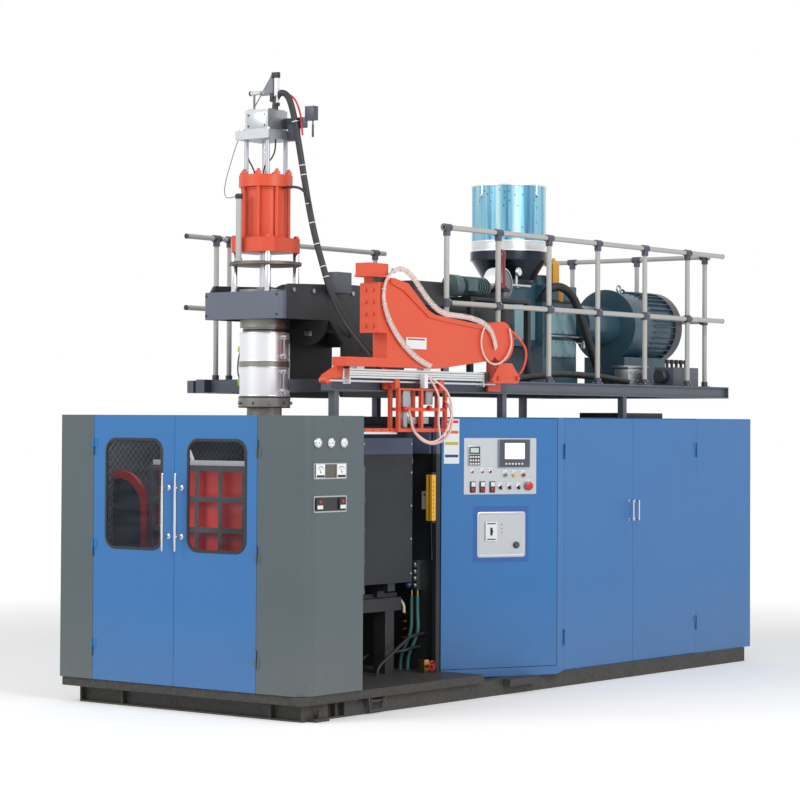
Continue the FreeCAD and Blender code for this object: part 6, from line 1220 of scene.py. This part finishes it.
clear_tube = clear_sheet("clear_tube", colour(226, 214, 212), 0.5, 0.08)
bundle_line = line_points(ARM_BUNDLE)
for number, shift in ((1, (0.003, 0.01045, 0.01178)), (2, (0.002, -0.0099, -0.01116))):
    made_piece(f"air_tube_{number}", clear_tube, [
        (tube_into, [tuple(place + Vector(shift)) for place in bundle_line], 0.0065, 8)])
TIES = 22
tie_gap = len(bundle_line) // TIES
spots = range(tie_gap, len(bundle_line) - tie_gap, tie_gap)
bolts("tube_ties", [bundle_line[i] for i in spots],
      [(bundle_line[i + 1] - bundle_line[i - 1]).normalized() for i in spots], 0.0185, 0.005, key_white,
      16)
hose("arm_loop", laid((1.034, 2.03, 2.6), (1.034, 1.975, 2.53), (1.034, 1.97, 2.43), (1.034, 2.03, 2.345),
                      (1.034, 2.14, 2.31), (1.034, 2.25, 2.345), (1.034, 2.325, 2.42), (1.034, 2.345, 2.5),
                      (1.03, 2.315, 2.575)), 0.007, clear_tube_finish)
orange_tube = rubber("orange_tube", colour(222, 84, 60), 0.3, 0.01)
hose("arm_end_tube", laid((1.02, 2.321, 2.575), (1.022, 2.4, 2.535), (1.022, 2.5, 2.475),
                          (1.02, 2.548, 2.415), (1.01, 2.545, 2.33), (0.98, 2.52, 2.25), (0.895, 2.5, 2.195)),
     0.009, orange_tube)
made_piece("junction_box", platform_slate, [
    block(0.365, 0.445, 1.1, 1.265, 2.79, 2.935, 0.004), block(0.335, 0.366, 1.15, 1.22, 2.81, 2.85, 0.002)])
hose("junction_cable", laid((0.368, 1.17, 2.792), (0.378, 1.17, 2.74), (0.388, 1.2, 2.66), (0.39, 1.26, 2.58),
                            (0.372, 1.33, 2.53), (0.345, 1.38, 2.5)), 0.006, black_case)

# Carriage guide: a pale extruded aluminium profile with grooves and a hard chromed rod below it,
# for the orange cage that carries the take-out grippers and its loop of clear air tubes.
profile_metal = bare_metal("profile_metal", colour(222, 224, 226), 0.4, stretch=(1, 20, 1), drift=0.05)
dress(profile_metal, "arm_rail")
# Thin black strips along the profile's grooves: painted shade inside the grooves.
made_piece("profile_groove_shade", ink_black, [
    block(0.9795, 0.9804, 0.575, 2.088, low, low + width)
    for low, width in ((2.2135, 0.0035), (2.2285, 0.002), (2.2455, 0.0035))])
made_piece("chromed_rod", polished,
           rod_steps(((0.95, back(0.344), 2.18), (0.95, back(2.2505), 2.18), 0.0104), sides=28))
made_piece("rod_end_block", charcoal, [block(0.918, 0.984, 2.088, 2.15, 2.196, 2.264, 0.004)])
CAGE = "takeout_carriage"
# Black plugs in the reach holes: painted shade inside the holes.
made_piece("reach_hole_shade", ink_black, [
    (turned_into, [(0, 0.007), (0.0128, 0.007)], (0.95, back(station), 1.8572), OUT, 14)
    for station in (0.76, 0.85, 0.94, 1.03)], CAGE)
made_piece("reach_rail", profile_metal, [block(0.934, 0.97, 0.712, 1.1, 1.8455, 1.83, 0.002)], CAGE)
made_piece("gripper_parts", zinc, [
    block(0.925, 0.975, 1.16, 1.24, 1.99, 2.125, 0.005), block(0.93, 0.97, 1.42, 1.5, 2.03, 2.125, 0.005),
    (turned_into, [(0, 0.022), (0.004, 0.024), (0.13, 0.024), (0.134, 0.022)],
     (0.95, back(1.2), 1.872), UP, 24),
    (turned_into, [(0, 0.016), (0.1, 0.016)], (0.95, back(1.28), 1.92), (0, 1, 0), 20),
    block(0.935, 0.965, 1.26, 1.46, 1.9, 1.945, 0.004)], CAGE)
made_piece("gripper_knobs", signal_red, [
    (turned_into, [(0, 0.012), (0.01, 0.015), (0.03, 0.015), (0.034, 0.01)], (0.997, back(station), height),
     OUT, 14) for station, height in ((1.12, 2.0), (1.4, 2.01), (1.58, 2.02))], CAGE)
loops = {"loop_outer": [(1.0, 1.42, 2.215), (1.03, 1.55, 2.16), (1.034, 1.63, 2.05), (1.032, 1.63, 1.94),
                        (1.03, 1.56, 1.83), (1.028, 1.45, 1.775), (1.026, 1.33, 1.78), (1.02, 1.23, 1.845)],
         "loop_inner": [(1.0, 1.41, 2.215), (1.032, 1.47, 2.13), (1.034, 1.49, 2.03), (1.034, 1.475, 1.93),
                        (1.032, 1.49, 1.85), (1.03, 1.51, 1.8)]}
for name, places in loops.items():
    hose(name, laid(*places), 0.0075, clear_tube_finish, body=CAGE)
made_piece("tube_clip", key_white, [block(0.975, 1.015, 1.345, 1.385, 2.14, 2.235, 0.004)], CAGE)


# Hopper: rolled sheet steel that still wears its blue protective film, streaked and spotted, with a
# bare bright band below it, a dark cone and three toggle latches on the rim.
FILM_EDGE, CONE_TOP = 3.335, 3.232


def filmed(name):
    """Blue film with vertical streaks over sheet steel, bare below it and dark on the cone."""
    finish, surface, place = new_finish(name)
    tree = finish.node_tree
    streaks = noise(wired(tree, "ShaderNodeMapping", Vector=place, Scale=(14, 14, 0.35)), 1.0, 4.0, 0.7)
    film = wired(tree, "ShaderNodeValToRGB", Fac=streaks)
    ramp = film.node.color_ramp.elements
    ramp[0].position, ramp[0].color = 0.33, colour(52, 112, 152)
    ramp[1].position, ramp[1].color = 0.66, colour(190, 226, 234)
    ramp.new(0.46).color = colour(104, 172, 202)
    ramp.new(0.54).color = colour(132, 194, 216)
    spots = wired(tree, "ShaderNodeTexVoronoi", Vector=place, Scale=26.0)
    marks = sums("MULTIPLY", sums("LESS_THAN", spots, 0.16),
                 sums("GREATER_THAN", noise(place, 2.6, 2.0), 0.53))
    height = axis_of(place, 2)
    covered = sums("GREATER_THAN", sums("MULTIPLY_ADD", noise(place, 22.0, 4.0), 0.06, height), FILM_EDGE)
    skin = mixed(covered, colour(214, 216, 218), mixed(marks, film, colour(20, 62, 92)))
    fill(surface, Base_Color=mixed(sums("LESS_THAN", height, CONE_TOP), skin, colour(48, 56, 64)),
         Metallic=ranged(covered, 0.9, 0.25), Roughness=ranged(streaks, 0.14, 0.34))
    return finish


dress(filmed("hopper_film"), "hopper")
HOPPER = (0.0, back(3.78))
hopper_trim = []
for height, proud in ((3.737, 0.006), (3.306, 0.004), (3.236, 0.006)):
    hopper_trim.append((turned_into, [(-0.008, 0.2868), (-0.006, 0.287 + proud), (0.004, 0.287 + proud),
                                      (0.006, 0.2868)], (*HOPPER, height), UP, 80))
for turn in (-100, -8, 172):
    way = Vector((math.cos(math.radians(turn)), math.sin(math.radians(turn)), 0))
    spot = Vector((*HOPPER, 3.66)) + way * 0.291
    hopper_trim += rod_steps((tuple(spot), tuple(spot + Vector((0, 0, 0.085))), 0.006),
                             (tuple(spot - way * 0.004 - Vector((0, 0, 0.012))), tuple(spot + way * 0.01),
                              0.012), sides=12)
made_piece("hopper_trim", band_steel, hopper_trim)

# Loader and blower: a ribbed grey green blower with a bright fan disc, and a maroon filter bowl with
# a small gauge, on a black stand.
dress(two_tone("barrel_paint", colour(34, 36, 40), colour(56, 90, 106), back(3.62), 1, 0.4),
      "extruder_barrel")
dress(rough_steel, "extruder_screw")
blower_green = painted("blower_green", colour(66, 92, 96), gloss=0.34, drift=0.12, peel=0.25)
stand = [block(0.25, 0.52, 2.56, 3.33, 2.8, 2.826, 0.003), block(0.33, 0.44, 2.835, 3.09, 2.826, 2.9, 0.004),
         block(0.436, 0.588, 2.88, 2.96, 2.872, 2.896, 0.003)]
stand += [block(left, left + 0.04, front, front + 0.04, 2.207, 2.801, 0.002) for left in (0.25, 0.48)
          for front in (2.56, 3.29)]
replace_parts(made_piece("loader_stand", clamp_dark, stand), "loader_blower")
BLOWER, RIB_PITCH = (0.45, back(2.4), 2.9), 0.031
ribs = [(0, 0.055), (0.004, 0.06)]
for start in (0.02 + rib * RIB_PITCH for rib in range(13)):
    ribs += [(start, 0.06), (start + 0.002, 0.0745), (start + 0.01, 0.0745), (start + 0.012, 0.06)]
blower = made_piece("blower_body", blower_green, [
    (turned_into, ribs + [(0.43, 0.06), (0.436, 0.055)], BLOWER, (0, 1, 0), 48),
    (turned_into, [(0, 0.076), (0.005, 0.08), (0.08, 0.08), (0.086, 0.074)], (0.45, back(2.396), 2.9),
     (0, 1, 0), 40), block(0.505, 0.545, 2.5, 2.62, 2.862, 2.95, 0.006)])
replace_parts(blower, "loader_blower")
fan_rim = made_piece("fan_rim", band_steel, [
    (turned_into, [(0, 0.1075), (0.004, 0.1175), (0.014, 0.1195), (0.096, 0.1195), (0.108, 0.1175),
                   (0.112, 0.1075), (0, 0.1075)], (0.33, back(3.09), 2.945), OUT, 72)])
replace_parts(fan_rim, "loader_blower")
fan_face = made_piece("fan_face", bracket_grey, [
    (turned_into, [(0.004, 0), (0.004, 0.107), (0.1, 0.107), (0.108, 0.098), (0.108, 0.045), (0.1, 0.036),
                   (0.1, 0)], (0.33, back(3.09), 2.945), OUT, 72)])
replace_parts(fan_face, "loader_blower")
maroon = painted("maroon_paint", colour(122, 28, 46), gloss=0.22, drift=0.06)
FILTER = (0.53, back(2.917))
filter_bowl = made_piece("filter_bowl", maroon, [
    (turned_into, [(2.895, 0.05), (2.9, 0.056), (2.916, 0.056), (2.928, 0.044), (2.945, 0.04), (3.1, 0.035),
                   (3.128, 0.04), (3.148, 0.04), (3.176, 0.03), (3.186, 0.018), (3.186, 0)], (*FILTER, 0), UP,
     44)])
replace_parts(filter_bowl, "loader_blower")
made_piece("filter_gauge", chrome_trim, [
    (turned_into, [(0, 0.008), (0.07, 0.008)], (0.33, back(3.415), 2.955), UP, 12),
    (turned_into, BEZEL, (0.345, back(3.415), 3.05), OUT, 32)]
    + rod_steps(((0.31, back(3.2), 2.95), (0.31, back(3.622), 2.95), 0.012),
                ((0.31, back(3.62), 2.95), (0.148, back(3.66), 2.95), 0.012)))
made_piece("filter_gauge_dial", dial_white, [(turned_into, DIAL, (0.345, back(3.415), 3.05), OUT, 28)])

# Extruder drive: a teal gearbox with bolted covers, a black cap and a yellow guide pillar, coupled
# to a finned motor in the same paint, with a black air duct bent over its side.
teal_paint = painted("teal_paint", colour(50, 82, 98), gloss=0.26, drift=0.1, peel=0.25)
dress(teal_paint, "extruder_gearbox", "main_motor")
cowl_paint = painted("cowl_paint", colour(56, 60, 70), gloss=0.36, drift=0.06)
dress(cowl_paint, "motor_cowl")
# The covers are a paler teal than the gearbox: a painted sheen of light glinting on them.
cover_paint_painted_sheen = painted("cover_paint_painted_sheen", colour(122, 156, 166), gloss=0.2, drift=0.1)
GEAR_FACE = 0.22
made_piece("gearbox_covers", cover_paint_painted_sheen, [
    block(GEAR_FACE - 0.002, GEAR_FACE + 0.022, 3.985, 4.365, low, top, 0.004)
    for low, top in ((2.425, 2.555), (2.605, 2.775))])
made_piece("feed_cover", cover_paint_painted_sheen, [block(0.1495, 0.158, 3.64, 3.92, 2.55, 2.82, 0.003)])
cover_bolts = [(GEAR_FACE + 0.021, back(station), height) for low, high in ((2.438, 2.542), (2.618, 2.762))
               for station in (4.0, 4.09, 4.18, 4.27, 4.35) for height in (low, high)]
bolts("cover_bolts", cover_bolts, OUT, 0.009, 0.008, zinc)
made_piece("gearbox_top", clamp_dark, [
    block(-0.286, 0.226, 3.926, 4.404, 2.845, 2.872, 0.006),
    block(-0.21, 0.196, 3.99, 4.36, 2.872, 2.984, 0.012)])
pillar_yellow = painted("pillar_yellow", colour(226, 166, 46), gloss=0.34, drift=0.05)
made_piece("guide_pillar", pillar_yellow, [
    (turned_into, [(2.984, 0.062), (3.0, 0.062), (3.004, 0.052), (3.145, 0.052), (3.152, 0.054),
                   (3.205, 0.004), (3.207, 0)], (0.15, back(4.18), 0), UP, 6),
    (turned_into, [(2.86, 0.08), (2.92, 0.08), (2.984, 0.064)], (0.15, back(4.18), 0), UP, 20)])
hose("air_duct", laid((0.2, 3.95, 2.868), (0.245, 3.95, 2.945), (0.3, 4.02, 2.975), (0.33, 4.12, 2.94),
                      (0.345, 4.2, 2.86), (0.36, 4.27, 2.72), (0.37, 4.34, 2.56), (0.37, 4.42, 2.42),
                      (0.36, 4.52, 2.3), (0.35, 4.6, 2.23)), 0.034, gasket_finish)
made_piece("oil_pipes", brushed_trim,
           rod_steps(((0.262, back(3.95), 2.585), (0.262, back(4.48), 2.585), 0.01),
                     ((0.262, back(4.44), 2.5), (0.262, back(4.44), 2.62), 0.014),
                     ((0.262, back(3.97), 2.62), (0.262, back(3.97), 2.76), 0.008)))
EYE_BOLT = (0.2, back(5.05), 2.998)
eye_ring = [(EYE_BOLT[0], EYE_BOLT[1] + 0.026 * math.cos(turn), EYE_BOLT[2] + 0.026 * math.sin(turn))
            for turn in (math.tau * i / 28 for i in range(29))]
made_piece("motor_eye", zinc, [
    (tube_into, eye_ring, 0.008, 10)]
    + rod_steps(((0.2, back(5.05), 2.955), (0.2, back(5.05), 2.975), 0.016)))
hose("deck_hose", laid((0.6, 3.02, 2.234), (0.62, 3.3, 2.262), (0.6, 3.62, 2.285), (0.58, 3.95, 2.275),
                       (0.6, 4.25, 2.268), (0.58, 4.58, 2.234)), 0.026, gasket_finish)
made_piece("terminal_block", brushed_trim, [
    block(0.43, 0.56, 4.63, 4.9, 2.2065, 2.345, 0.006), block(0.42, 0.57, 4.61, 4.92, 2.345, 2.366, 0.004)])
bolts("terminal_screws", [(0.56, back(station), height) for station in (4.66, 4.72, 4.78, 4.84, 4.88)
                          for height in (2.25, 2.31)], OUT, 0.008, 0.006, zinc)
made_piece("pump_caps", black_case, [
    (turned_into, [(0, 0.012), (0.03, 0.012), (0.032, 0.018), (0.06, 0.018), (0.064, 0.012)],
     (0.69, back(station), 2.3565), UP, 16) for station in (5.0, 5.07, 5.14, 5.21, 5.28)]
    + [(turned_into, [(0, 0.05), (0.01, 0.056), (0.07, 0.056), (0.08, 0.046)], (0.69, back(4.951), 2.285),
        FRONT, 28)])
